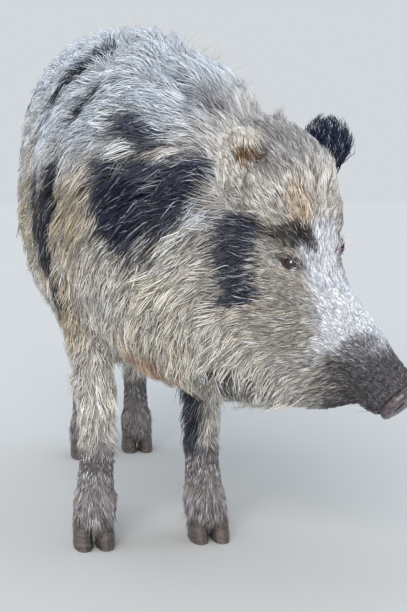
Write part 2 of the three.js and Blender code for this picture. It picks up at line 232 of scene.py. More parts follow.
# In the head's frame: to its side, behind the nose disc and above it. Each holds for both sides.
HEAD_GUIDES: dict[str, Guide] = {
    "nose_rim": Guide((0.030, 0.014, 0.022), (0.1, 1.0, 0.1), 6, 16, Tone.SMOKE),
    "snout_top": Guide((0.000, 0.040, 0.036), (0.0, 1.0, 0.1), 8, 24, Tone.SMOKE),
    "snout_side": Guide((0.036, 0.050, 0.000), (0.3, 0.9, -0.3), 12, 28, Tone.SMOKE),
    "chin": Guide((0.012, 0.035, -0.050), (0.2, 0.3, -0.9), 18, 24, Tone.SMOKE),
    "bridge": Guide((0.000, 0.110, 0.036), (0.0, 1.0, 0.2), 8, 13, Tone.SNOW),
    "bridge_side": Guide((0.042, 0.118, 0.016), (0.3, 1.0, 0.1), 10, 14, Tone.SNOW),
    "between_eyes": Guide((0.000, 0.205, 0.066), (0.0, 1.0, 0.4), 12, 18, Tone.SNOW),
    "forehead": Guide((0.000, 0.255, 0.122), (0.0, 0.7, 0.7), 26, 40, Tone.CREAM),
    "crown_front": Guide((0.062, 0.274, 0.114), (0.75, 0.10, 0.65), 30, 46, Tone.CREAM),
    "nape_side": Guide((0.055, 0.330, 0.140), (0.2, 1.0, -0.1), 26, 26, Tone.PEPPER),
    "ear_base": Guide((0.114, 0.314, 0.080), (0.95, 0.30, -0.10), 42, 34, Tone.SNOW),
    "forehead_side": Guide((0.048, 0.270, 0.124), (0.3, 0.8, 0.6), 24, 34, Tone.CREAM),
    "poll": Guide((0.000, 0.330, 0.150), (0.0, 1.0, -0.2), 28, 24, Tone.PEPPER),
    "brow": Guide((0.058, 0.246, 0.086), (0.6, 0.8, 0.2), 19, 36, Tone.GRIZZLE),
    "under_eye": Guide((0.072, 0.190, 0.044), (0.6, 0.8, -0.2), 17, 24, Tone.GRIZZLE),
    "lip": Guide((0.052, 0.078, -0.020), (0.6, 0.3, -0.7), 26, 30, Tone.GRIZZLE),
    "cheek_front": Guide((0.064, 0.140, 0.000), (0.7, 0.5, -0.5), 28, 28, Tone.GRIZZLE),
    "cheek": Guide((0.102, 0.190, 0.010), (0.65, 0.55, -0.5), 34, 28, Tone.GRIZZLE),
    "cheek_rear": Guide((0.130, 0.240, 0.020), (0.6, 0.65, -0.45), 38, 27, Tone.GRIZZLE),
    "temple": Guide((0.100, 0.285, 0.070), (0.6, 0.8, -0.1), 24, 26, Tone.CREAM),
    "jaw": Guide((0.090, 0.115, -0.090), (0.46, -0.30, -0.80), 50, 26, Tone.CREAM),
    "jowl": Guide((0.140, 0.215, -0.060), (0.50, -0.30, -0.80), 56, 28, Tone.CREAM),
    "throat": Guide((0.030, 0.160, -0.120), (0.10, -0.60, -0.75), 52, 28, Tone.CREAM),
}

# On an ear, from its root to its tip, in the head's frame for its left side. Each holds for both sides.
EAR_WAY: Triple = (0.36, 0.53, 0.76)
EAR_GUIDES: dict[str, Guide] = {
    "ear_root": Guide((0.074, 0.318, 0.090), EAR_WAY, 22, 28, Tone.CREAM),
    "ear_middle": Guide((0.092, 0.338, 0.122), EAR_WAY, 19, 30, Tone.CREAM),
    "ear_tip": Guide((0.104, 0.360, 0.150), EAR_WAY, 16, 30, Tone.CREAM),
}

# On the neck, which bends to the boar's left. Its top has pale hair with a painted sky highlight.
NECK_GUIDES: dict[str, Guide] = {
    "crest": Guide((-0.040, -0.350, 0.745), (-0.30, 0.80, 0.35), 54, 34, Tone.PALE_WITH_SKY_HIGHLIGHT),
    "crest_front": Guide((-0.012, -0.420, 0.700), (-0.50, 0.60, 0.40), 42, 28, Tone.PALE_WITH_SKY_HIGHLIGHT),
    "upper_right": Guide((-0.075, -0.455, 0.650), (-0.80, 0.45, 0.25), 56, 29, Tone.PALE_WITH_SKY_HIGHLIGHT),
    "middle_right": Guide((-0.105, -0.487, 0.560), (-0.75, 0.45, -0.50), 64, 27, Tone.CREAM),
    "behind_ear": Guide((-0.030, -0.520, 0.530), (-0.88, 0.35, -0.30), 52, 25, Tone.SNOW),
    "under_ear": Guide((-0.050, -0.525, 0.470), (-0.72, 0.30, -0.65), 60, 27, Tone.CREAM),
    "lower_right": Guide((-0.100, -0.490, 0.430), (-0.60, 0.40, -0.75), 62, 28, Tone.IVORY),
    "throat_right": Guide((-0.070, -0.489, 0.335), (-0.25, 0.10, -1.00), 58, 28, Tone.IVORY),
    "throat_end": Guide((0.010, -0.480, 0.262), (-0.20, 0.10, -1.00), 50, 26, Tone.CREAM),
    "upper_left": Guide((0.070, -0.360, 0.640), (0.35, 0.90, -0.10), 54, 30, Tone.CREAM),
    "middle_left": Guide((0.105, -0.300, 0.540), (0.20, 0.90, -0.40), 56, 27, Tone.CREAM),
    "lower_left": Guide((0.100, -0.320, 0.400), (0.10, 0.60, -0.80), 56, 27, Tone.CREAM),
    "throat_left": Guide((0.060, -0.400, 0.290), (0.10, 0.40, -0.90), 50, 26, Tone.CREAM),
}

# On the trunk's right side, and mirrored on its left. Its top has pale hair with a painted sky highlight.
TRUNK_GUIDES: dict[str, Guide] = {
    "withers": Guide((-0.082, -0.200, 0.780), (-0.05, 0.95, 0.20), 58, 38, Tone.PALE_WITH_SKY_HIGHLIGHT),
    "back": Guide((-0.090, 0.080, 0.782), (-0.10, 1.00, 0.00), 56, 32, Tone.PALE_WITH_SKY_HIGHLIGHT),
    "croup": Guide((-0.095, 0.380, 0.740), (-0.15, 0.95, -0.25), 48, 28, Tone.CREAM),
    "buttock": Guide((-0.090, 0.530, 0.600), (-0.10, 0.40, -0.90), 44, 24, Tone.CREAM),
    "shoulder_top": Guide((-0.160, -0.340, 0.660), (-0.65, 0.55, -0.25), 58, 28, Tone.PALE_WITH_SKY_HIGHLIGHT),
    "flank_top_front": Guide((-0.200, -0.150, 0.680), (-0.40, 0.75, -0.55), 54, 27, Tone.PALE_WITH_SKY_HIGHLIGHT),
    "flank_top_rear": Guide((-0.205, 0.250, 0.660), (-0.25, 0.85, -0.50), 48, 25, Tone.PALE_WITH_SKY_HIGHLIGHT),
    "shoulder": Guide((-0.195, -0.345, 0.520), (-0.40, 0.55, -0.75), 60, 27, Tone.TAN),
    "flank_front": Guide((-0.245, -0.100, 0.500), (-0.05, 0.75, -0.65), 50, 28, Tone.TAN),
    "flank": Guide((-0.250, 0.150, 0.500), (0.00, 0.80, -0.55), 48, 26, Tone.TAN),
    "thigh": Guide((-0.215, 0.400, 0.500), (0.00, 0.60, -0.80), 44, 24, Tone.CREAM),
    "flank_low_front": Guide((-0.200, -0.250, 0.370), (0.00, 0.45, -0.90), 48, 27, Tone.TAN),
    "flank_low": Guide((-0.200, 0.100, 0.340), (0.15, 0.60, -0.75), 48, 26, Tone.CREAM),
    "chest": Guide((-0.150, -0.420, 0.400), (-0.40, 0.30, -0.90), 60, 27, Tone.CREAM),
    "brisket": Guide((-0.105, -0.390, 0.295), (-0.15, 0.20, -1.00), 48, 24, Tone.BUFF),
    "belly": Guide((-0.100, 0.050, 0.260), (0.10, 0.90, -0.40), 42, 22, Tone.CREAM),
    "groin": Guide((-0.100, 0.330, 0.320), (0.10, 0.60, -0.80), 34, 20, Tone.BUFF),
}

# Down a leg: height, how far in front of the foot's middle, length, lift and tone.
LEG_GUIDES: dict[str, tuple[float, float, float, float, Tone]] = {
    "arm_front": (0.370, 0.050, 48, 29, Tone.CREAM),
    "arm_rear": (0.370, -0.080, 58, 34, Tone.CREAM),
    "forearm_front": (0.270, 0.030, 44, 31, Tone.CREAM),
    "forearm_rear": (0.270, -0.040, 60, 38, Tone.CREAM),
    "knee": (0.190, 0.000, 42, 35, Tone.CREAM),
    "cannon_top": (0.132, 0.000, 17, 20, Tone.ASH),
    "cannon": (0.100, 0.000, 18, 22, Tone.LEG),
    "pastern": (0.062, 0.000, 19, 22, Tone.LEG),
}
LEG_WAY: Triple = (0.0, 0.30, -1.0)


class Column(Enum):
    """What the guides tell about a place, by column."""

    WAY = slice(0, 3)
    LENGTH = slice(3, 4)
    LIFT = slice(4, 5)
    TONE = slice(5, 8)


class Lie:
    """The lie, length, lift and ground colour of the coat all over the body."""

    SOFTNESS = 0.018  # how far apart two guides blend evenly
    CHUNK = 20_000

    def __init__(self) -> None:
        """Gathers the guides of the head, the neck, the trunk and the legs."""
        places: list[Array] = []
        rows: list[Array] = []

        def note(place: Array, way: Array, guide: Guide) -> None:
            measures = [guide.length * 0.001, math.radians(guide.lift), *guide.tone.value]
            places.append(place)
            rows.append(np.concatenate([unit(way), measures]))

        for guide in (HEAD_GUIDES | EAR_GUIDES).values():
            for side in (-1.0, 1.0):
                flip = np.array([side, 1.0, 1.0])
                place = HEAD.outside(np.array(guide.place) * flip)
                note(place, HEAD.turned(np.array(guide.way) * flip), guide)
        for guide in NECK_GUIDES.values():
            note(np.array(guide.place), np.array(guide.way), guide)
        for guide in TRUNK_GUIDES.values():
            for side in (-1.0, 1.0):
                flip = np.array([-side, 1.0, 1.0])
                middle = np.array([BODY_MIDDLE_X, 0.0, 0.0])
                place = (np.array(guide.place) - middle) * flip + middle
                note(place, np.array(guide.way) * flip, guide)
        for leg in LEGS:
            low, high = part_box(f"{leg}_lower_leg")
            for height, ahead, length, lift, tone in LEG_GUIDES.values():
                place = ((low.x + high.x) / 2, (low.y + high.y) / 2 - ahead, height)
                guide = Guide(place, LEG_WAY, length, lift, tone)
                note(np.array(place), np.array(LEG_WAY), guide)
        self.places = np.array(places)
        self.rows = np.array(rows)

    def at(self, points: Array) -> Array:
        """The blended guide rows at places of the skin.

        Args:
            points: Rows of places.

        Returns:
            One row for each place, with the columns that Column names.
        """
        made = []
        for first in range(0, len(points), self.CHUNK):
            some = points[first : first + self.CHUNK]
            gap = ((some[:, None, :] - self.places[None]) ** 2).sum(2)
            weight = 1.0 / (gap + self.SOFTNESS**2) ** 2
            made.append(weight @ self.rows / weight.sum(1, keepdims=True))
        return np.concatenate(made)


# ---- Markings ----


@dataclass(frozen=True)
class Marking:
    """One patch or stripe of another colour, as a run with a width.

    Attributes:
        start: Where the run begins.
        end: Where it ends.
        wide: Its reach to each side at the start, in metres.
        end_wide: Its reach to each side at the end.
        tone: Its colour.
        strength: How far it covers the ground colour, from 0 to 1.
        both: Whether it also lies on the head's other side.
    """

    start: Triple
    end: Triple
    wide: float
    end_wide: float
    tone: Tone
    strength: float = 0.95
    both: bool = True


BODY_MARKINGS: dict[str, Marking] = {
    "shoulder_rear": Marking((-0.168, -0.422, 0.560), (-0.150, -0.450, 0.463), 0.034, 0.032, Tone.BLUE_BLACK),
    "shoulder_left": Marking((-0.178, -0.408, 0.540), (-0.172, -0.420, 0.480), 0.020, 0.020, Tone.BLUE_BLACK),
    "shoulder_top": Marking((-0.136, -0.458, 0.543), (-0.052, -0.513, 0.548), 0.036, 0.028, Tone.BLUE_BLACK),
    "shoulder_front": Marking(
        (-0.130, -0.470, 0.490), (-0.080, -0.507, 0.510), 0.034, 0.024, Tone.BLUE_BLACK
    ),
    "shoulder_ear": Marking(
        (-0.050, -0.507, 0.580), (-0.044, -0.520, 0.520), 0.017, 0.017, Tone.BLUE_BLACK, 0.85
    ),
    "shoulder_crown": Marking(
        (-0.146, -0.420, 0.630), (-0.114, -0.456, 0.606), 0.024, 0.021, Tone.BLUE_BLACK, 0.92
    ),
    "shoulder_end": Marking(
        (-0.132, -0.468, 0.455), (-0.112, -0.486, 0.432), 0.024, 0.014, Tone.BLUE_BLACK, 0.9
    ),
    "neck_cloud": Marking(
        (-0.045, -0.455, 0.672), (-0.024, -0.474, 0.655), 0.020, 0.020, Tone.BLUE_BLACK, 0.5
    ),
    "crest_cloud": Marking(
        (-0.070, -0.428, 0.698), (-0.060, -0.434, 0.692), 0.015, 0.015, Tone.BLUE_BLACK, 0.5
    ),
    "right_flank": Marking((-0.219, -0.262, 0.582), (-0.224, -0.230, 0.530), 0.013, 0.038, Tone.INK),
    "right_flank_middle": Marking((-0.224, -0.230, 0.530), (-0.238, -0.170, 0.450), 0.040, 0.060, Tone.INK),
    "right_flank_rear": Marking((-0.244, -0.120, 0.530), (-0.244, -0.110, 0.450), 0.046, 0.046, Tone.INK),
    "right_flank_low": Marking((-0.232, -0.190, 0.440), (-0.216, -0.235, 0.362), 0.046, 0.018, Tone.INK),
    "back_streak": Marking((-0.138, -0.195, 0.758), (-0.184, -0.172, 0.716), 0.023, 0.030, Tone.INK, 1.0),
    "back_streak_low": Marking((-0.184, -0.172, 0.716), (-0.214, -0.118, 0.676), 0.030, 0.022, Tone.INK, 1.0),
    "back_streak_front": Marking(
        (-0.165, -0.315, 0.684), (-0.193, -0.268, 0.644), 0.020, 0.020, Tone.INK, 1.0
    ),
    "right_loin": Marking((-0.170, 0.200, 0.745), (-0.215, 0.260, 0.680), 0.026, 0.022, Tone.INK),
    "right_thigh": Marking((-0.222, 0.340, 0.600), (-0.225, 0.400, 0.440), 0.034, 0.024, Tone.INK),
    "rump": Marking((-0.115, 0.480, 0.690), (-0.060, 0.530, 0.600), 0.028, 0.020, Tone.INK),
    "left_back": Marking((-0.050, 0.250, 0.770), (0.030, 0.300, 0.690), 0.020, 0.026, Tone.INK),
    "left_shoulder": Marking((0.095, -0.300, 0.585), (0.090, -0.240, 0.440), 0.040, 0.046, Tone.BLUE_BLACK),
    "left_flank": Marking((0.080, 0.080, 0.630), (0.090, 0.180, 0.480), 0.040, 0.060, Tone.INK),
    "left_thigh": Marking((0.060, 0.420, 0.560), (0.068, 0.450, 0.420), 0.030, 0.026, Tone.INK),
    "left_neck": Marking((0.060, -0.360, 0.690), (0.095, -0.330, 0.620), 0.018, 0.024, Tone.BLUE_BLACK, 0.7),
    "chest_rust": Marking((-0.118, -0.360, 0.290), (-0.085, -0.405, 0.278), 0.026, 0.022, Tone.RUST, 0.5),
    "throat_dark": Marking((-0.035, -0.465, 0.268), (0.020, -0.490, 0.262), 0.014, 0.012, Tone.BROWN_BLACK),
    "left_elbow": Marking((-0.022, -0.228, 0.245), (-0.026, -0.236, 0.155), 0.036, 0.025, Tone.BLUE_BLACK),
    "left_cannon": Marking(
        (0.022, -0.262, 0.150), (0.020, -0.262, 0.115), 0.014, 0.012, Tone.BROWN_BLACK, 0.6
    ),
    "right_elbow": Marking(
        (-0.210, -0.205, 0.250), (-0.200, -0.210, 0.200), 0.020, 0.014, Tone.BROWN_BLACK, 0.6
    ),
    "tail_end": Marking((-0.078, 0.585, 0.500), (-0.078, 0.585, 0.340), 0.024, 0.030, Tone.BLUE_BLACK),
}

# In the head's frame, on the side away from its left. Most come back on the other side.
HEAD_MARKINGS: dict[str, Marking] = {
    "blaze": Marking((0.0, 0.205, 0.062), (0.0, 0.108, 0.036), 0.044, 0.048, Tone.SNOW, 1.0),
    "muzzle": Marking((0.0, 0.072, -0.032), (0.0, -0.010, 0.000), 0.060, 0.060, Tone.SMOKE, 0.9),
    "forehead": Marking((-0.040, 0.276, 0.130), (-0.034, 0.256, 0.112), 0.018, 0.018, Tone.BUFF, 0.75, False),
    "brow": Marking(
        (-0.074, 0.251, 0.080), (-0.046, 0.238, 0.086), 0.013, 0.018, Tone.BROWN_BLACK, 0.86, False
    ),
    "brow_far": Marking(
        (0.090, 0.272, 0.078), (0.068, 0.252, 0.080), 0.013, 0.012, Tone.BROWN_BLACK, 0.8, False
    ),
    "brow_front": Marking(
        (-0.038, 0.236, 0.088), (-0.018, 0.216, 0.072), 0.016, 0.008, Tone.BROWN_BLACK, 0.9, False
    ),
    "temple_dark": Marking(
        (-0.100, 0.282, 0.068), (-0.084, 0.262, 0.078), 0.015, 0.013, Tone.BROWN_BLACK, 0.6
    ),
    "cheek_dark": Marking(
        (-0.114, 0.285, 0.052), (-0.124, 0.232, 0.004), 0.033, 0.023, Tone.BLUE_BLACK, 0.93
    ),
    "ear_dark": Marking((-0.080, 0.330, 0.150), (-0.062, 0.318, 0.140), 0.010, 0.010, Tone.ASH, 0.6, False),
    "cheek_tuft": Marking(
        (-0.110, 0.247, 0.037), (-0.112, 0.243, 0.032), 0.007, 0.007, Tone.CREAM, 0.9, False
    ),
    "eye_corner": Marking(
        (-0.046, 0.214, 0.060), (-0.036, 0.205, 0.052), 0.009, 0.008, Tone.LILAC, 0.7, False
    ),
    "tear_line": Marking((-0.052, 0.210, 0.059), (-0.042, 0.201, 0.052), 0.0056, 0.0036, Tone.PLUM, 0.9),
    "outer_corner": Marking((-0.074, 0.231, 0.064), (-0.068, 0.226, 0.063), 0.0050, 0.0060, Tone.PLUM, 0.85),
    "ear_rim": Marking((-0.122, 0.378, 0.172), (-0.070, 0.352, 0.172), 0.012, 0.013, Tone.IVORY, 0.9, False),
    # Brown painted shade in the near ear's cup, under its rim.
    "ear_hollow_painted_shade": Marking(
        (-0.112, 0.360, 0.149), (-0.093, 0.347, 0.140), 0.005, 0.010, Tone.BROWN_PAINTED_SHADE, 0.8, False
    ),
    "ear_fold_painted_shade": Marking((-0.093, 0.346, 0.139), (-0.070, 0.338, 0.148), 0.012, 0.011, Tone.BROWN_PAINTED_SHADE, 0.8, False),
    "ear_gutter_painted_shade": Marking(
        (-0.092, 0.338, 0.128), (-0.087, 0.322, 0.106), 0.007, 0.005, Tone.BROWN_PAINTED_SHADE, 0.45, False
    ),
}


class Markings:
    """The patches of the coat, which the skin and the hair share."""

    RAGGED = 0.32  # how far noise moves an edge, as a share of the patch's reach
    BLOTCH = 0.022

    def __init__(self) -> None:
        """Puts the head's patches on both sides and brings them to the frame of the solids."""
        self.runs: list[Marking] = list(BODY_MARKINGS.values())
        for marking in HEAD_MARKINGS.values():
            sides = (1.0, -1.0) if marking.start[0] and marking.both else (1.0,)
            for side in sides:
                flip = np.array([side, 1.0, 1.0])
                start = HEAD.outside(np.array(marking.start) * flip)
                end = HEAD.outside(np.array(marking.end) * flip)
                moved = Marking(
                    tuple(start), tuple(end), marking.wide, marking.end_wide, marking.tone, marking.strength
                )
                self.runs.append(moved)

    def over(self, points: Array, ground: Array) -> Array:
        """The colour of hair at places of the skin.

        Args:
            points: Rows of places.
            ground: The colour there without the markings.

        Returns:
            Rows of colours.
        """
        ragged = value_noise(points, self.BLOTCH, 5) + 0.5 * value_noise(points, self.BLOTCH / 3, 6)
        made = ground.copy()
        for run in self.runs:
            gap, share = distance_to_run(points, run.start, run.end)
            reach = run.wide + (run.end_wide - run.wide) * share
            cover = 1.0 - smoothstep(0.82, 1.18, gap / reach + self.RAGGED * ragged)
            made += (cover * run.strength)[:, None] * (np.array(run.tone.value) - made)
        return made


# ---- Meshes as arrays ----


class Surface:
    """A mesh as arrays: its points and its faces, all with the same number of corners."""

    def __init__(self, points: Array, faces: Array) -> None:
        """Notes which points are neighbours.

        Args:
            points: One row for each point.
            faces: One row of point numbers for each face.
        """
        self.points = points
        self.faces = faces
        here, there = faces.ravel(), np.roll(faces, -1, axis=1).ravel()
        self.source = np.concatenate([here, there])
        self.target = np.concatenate([there, here])
        self.count = np.maximum(np.bincount(self.source, minlength=len(points)), 1)

    @classmethod
    def of_mesh(cls, mesh: bpy.types.Mesh) -> "Surface":
        """The arrays of a Blender mesh whose faces all have the same number of corners."""
        points = np.empty(len(mesh.vertices) * 3, np.float32)
        mesh.vertices.foreach_get("co", points)
        corners = np.empty(len(mesh.loops), np.int32)
        mesh.loops.foreach_get("vertex_index", corners)
        sides = len(corners) // len(mesh.polygons)
        return cls(points.reshape(-1, 3).astype(float), corners.reshape(-1, sides))

    def averaged(self, values: Array) -> Array:
        """The mean of each point's neighbours."""
        length = len(self.points)
        sums = [np.bincount(self.source, values[self.target, c], length) for c in range(values.shape[1])]
        return np.stack(sums, axis=1) / self.count[:, None]

    def eased(self, values: Array, rounds: int, share: float | Array = 0.5) -> Array:
        """Values drawn towards those of their neighbours.

        Args:
            values: Rows of values, one for each point.
            rounds: How often they are drawn.
            share: How far each time, the same everywhere or a column with one value for each point.

        Returns:
            The smoother values.
        """
        for _ in range(rounds):
            values = values + share * (self.averaged(values) - values)
        return values

    def face_normals(self) -> Array:
        """Each face's normal, as long as the face is large."""
        corners = self.points[self.faces]
        return np.cross(corners[:, 2] - corners[:, 0], corners[:, -1] - corners[:, 1]) / 2

    def normals(self) -> Array:
        """Each point's outward direction."""
        faces = self.face_normals()
        length, sides = len(self.points), self.faces.shape[1]
        sums = [
            sum(np.bincount(self.faces[:, side], faces[:, axis], length) for side in range(sides))
            for axis in range(3)
        ]
        return unit(np.stack(sums, axis=1))

    def write_points(self, mesh: bpy.types.Mesh) -> None:
        """Moves the points of a mesh that has as many of them."""
        mesh.vertices.foreach_set("co", self.points.astype(np.float32).ravel())
        mesh.update()


def new_object(name: str, mesh: bpy.types.Mesh) -> bpy.types.Object:
    """A mesh as an object of the scene, at the origin."""
    made = bpy.data.objects.new(name, mesh)
    bpy.context.scene.collection.objects.link(made)
    return made


def mesh_of(name: str, points: Array, faces: list[Array]) -> bpy.types.Mesh:
    """A smooth mesh from arrays.

    Args:
        name: The mesh's name.
        points: One row for each point.
        faces: Tables of point numbers, each for faces with the same number of corners.

    Returns:
        The mesh.
    """
    mesh = bpy.data.meshes.new(name)
    mesh.vertices.add(len(points))
    mesh.vertices.foreach_set("co", np.ascontiguousarray(points, np.float32).ravel())
    corners = np.concatenate([table.ravel() for table in faces])
    sides = np.concatenate([np.full(len(table), table.shape[1]) for table in faces])
    mesh.loops.add(len(corners))
    mesh.loops.foreach_set("vertex_index", corners.astype(np.int32))
    mesh.polygons.add(len(sides))
    starts = np.concatenate([[0], np.cumsum(sides)[:-1]])
    mesh.polygons.foreach_set("loop_start", starts.astype(np.int32))
    mesh.polygons.foreach_set("use_smooth", np.ones(len(sides), bool))
    mesh.update(calc_edges=True)
    return mesh


def evaluated(carrier: bpy.types.Object, name: str) -> bpy.types.Mesh:
    """The mesh that an object's modifiers make. The object is then removed."""
    graph = bpy.context.evaluated_depsgraph_get()
    mesh = bpy.data.meshes.new_from_object(carrier.evaluated_get(graph))
    mesh.name = name
    bpy.data.objects.remove(carrier)
    return mesh


def paint(mesh: bpy.types.Mesh, name: str, colours: Array) -> None:
    """Gives each point of a mesh its colour."""
    layer = mesh.color_attributes.new(name=name, type="FLOAT_COLOR", domain="POINT")
    whole = np.ones((len(colours), 4), np.float32)
    whole[:, :3] = colours
    layer.data.foreach_set("color", whole.ravel())


def face_owners(surface: Surface) -> Array:
    """The solid of the flesh that each face of the skin belongs to, as its number in FLESH."""
    points: list[Vector] = []
    faces: list[list[int]] = []
    owners: list[int] = []
    for number, node in enumerate(FLESH):
        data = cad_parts[node].data
        first = len(points)
        points += [vertex.co for vertex in data.vertices]
        faces += [[first + corner for corner in face.vertices] for face in data.polygons]
        owners += [number] * len(data.polygons)
    solid = BVHTree.FromPolygons(points, faces)
    centres = surface.points[surface.faces].mean(1)
    return np.array([owners[solid.find_nearest(Vector(centre))[2]] for centre in centres])


TINT = "coat_tint"
UNWRAP = "OFBake"


# ---- The skin ----


@dataclass(frozen=True)
class EyePlace:
    """Where an eye sits, with axes along the lids, up over the brow and out through the lids."""

    OUTWARD = (0.8, -0.3, 0.5)  # of the left eye, in the head's frame
    BACKWARD = (0.40, 0.92, -0.09)  # from its inner to its outer corner

    centre: Array
    along: Array
    upward: Array
    outward: Array

    @classmethod
    def on(cls, side: float) -> "EyePlace":
        """The left eye for side 1, the right one for -1."""
        node = "eye_left" if side > 0 else "eye_right"
        centre = np.mean([np.array(corner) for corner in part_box(node)], axis=0)
        flip = np.array([side, 1.0, 1.0])
        outward = unit(np.array(cls.OUTWARD) * flip)
        back = np.array(cls.BACKWARD) * flip
        along = unit(back - outward * (back @ outward))
        upward = np.cross(outward, along) * side
        return cls(centre, *(HEAD.turned(axis) for axis in (along, upward, outward)))

    def inside(self, points: Array) -> Array:
        """Places of the frame of the solids as along, up and out from the eye's centre."""
        return (points - self.centre) @ np.stack([self.along, self.upward, self.outward]).T

    def outside(self, points: Array) -> Array:
        """Places along, up and out from the eye's centre, in the frame of the solids."""
        return points @ np.stack([self.along, self.upward, self.outward]) + self.centre


EYES = {name: EyePlace.on(side) for name, side in (("left", 1.0), ("right", -1.0))}


@dataclass(frozen=True)
class Ridge:
    """A ridge or, where its height is negative, a fold that runs round the slit of the lids."""

    height: float
    place: float  # from the slit's edge
    wide: float

    def over(self, gap: Array) -> Array:
        """Its height at distances from the slit's edge."""
        return self.height * np.exp(-(((gap - self.place) / self.wide) ** 2))


@dataclass
class Lids:
    """The lids over an eyeball: two skins drawn over it with a slit between them."""

    ball: float = 0.0135
    thick: float = 0.0012
    reach: float = 0.030  # how far round the eye the skin is drawn
    half_long: float = 0.0143
    half_high: float = 0.0050
    middle: float = 0.0008  # how high the slit sits over the eyeball's middle
    sag: float = 0.0012  # how far the outer corner hangs
    blend: tuple[float, float] = (0.0045, 0.0150)  # the lids go over into the face between these
    wrap: float = 0.90  # the share of the ball's half width that the lids follow
    slope: float = 1.2  # how steeply they fall away beyond
    sunk: float = 0.0004  # how far the face may lie under them
    ridges: tuple[Ridge, ...] = (
        Ridge(0.0007, 0.0009, 0.0009),
        Ridge(-0.0012, 0.0048, 0.0010),
        Ridge(-0.0006, 0.0048 * 1.8, 0.0012),
    )
    ridge_end: tuple[float, float] = (0.010, 0.016)
    under: float = 0.0022  # how far the skin behind the slit lies under the eyeball
    pit: float = 0.002  # and how far deeper it is sunk
    edge: tuple[float, float] = (-0.0008, 0.0001)  # the slit's edge, as a step
    rim: tuple[float, float] = (0.0020, 0.0078)  # the dark rim fades between these
    rim_colour: Triple = linear(50, 40, 56)
    rim_strength: float = 0.93

    def slit(self, place: Array) -> Array:
        """How far a place is outside the slit. Inside it is negative."""
        along, up = place[:, 0], place[:, 1]
        share = np.clip(np.abs(along) / self.half_long, 0.0, 1.0)
        middle = self.middle - self.sag * along / self.half_long
        beyond = np.maximum(np.abs(along) - self.half_long, 0.0)
        gap = np.abs(up - middle) - self.half_high * (1.0 - share**2)
        return np.where(beyond > 0, np.hypot(beyond, np.maximum(gap, 0.0)), gap)

    def drape(self, place: Array) -> Array:
        """Draws skin over the eyeball.

        Args:
            place: Places along, up and out from the eye's centre.

        Returns:
            How far out each place then is.
        """
        along, up, out = place.T
        aside = np.hypot(along, up)
        gap = self.slit(place)
        over = self.ball + self.thick
        turn = over * self.wrap
        lid = np.sqrt(over**2 - np.minimum(aside, turn) ** 2) - self.slope * np.maximum(aside - turn, 0.0)
        relief = sum(ridge.over(gap) for ridge in self.ridges) * (1.0 - smoothstep(*self.ridge_end, gap))
        near = 1.0 - smoothstep(*self.blend, gap)
        made = np.maximum(out + near * (lid - out), lid - self.sunk) + relief
        pit = np.sqrt(np.maximum((self.ball - self.under) ** 2 - aside**2, 0.0)) - self.pit
        open_share = 1.0 - smoothstep(*self.edge, gap)
        return np.where(out > 0, made + open_share * (np.minimum(pit, made) - made), out)

    def darkened(self, eye: EyePlace, points: Array, colours: Array) -> Array:
        """Colours of the skin with the dark rim round an eye.

        Args:
            eye: The eye.
            points: Places of the skin.
            colours: Their colours.

        Returns:
            The new colours.
        """
        place = eye.inside(points)
        rim = 1.0 - smoothstep(*self.rim, self.slit(place))
        rim *= (np.linalg.norm(place, axis=1) < self.reach) * self.rim_strength
        return colours + rim[:, None] * (np.array(self.rim_colour) - colours)


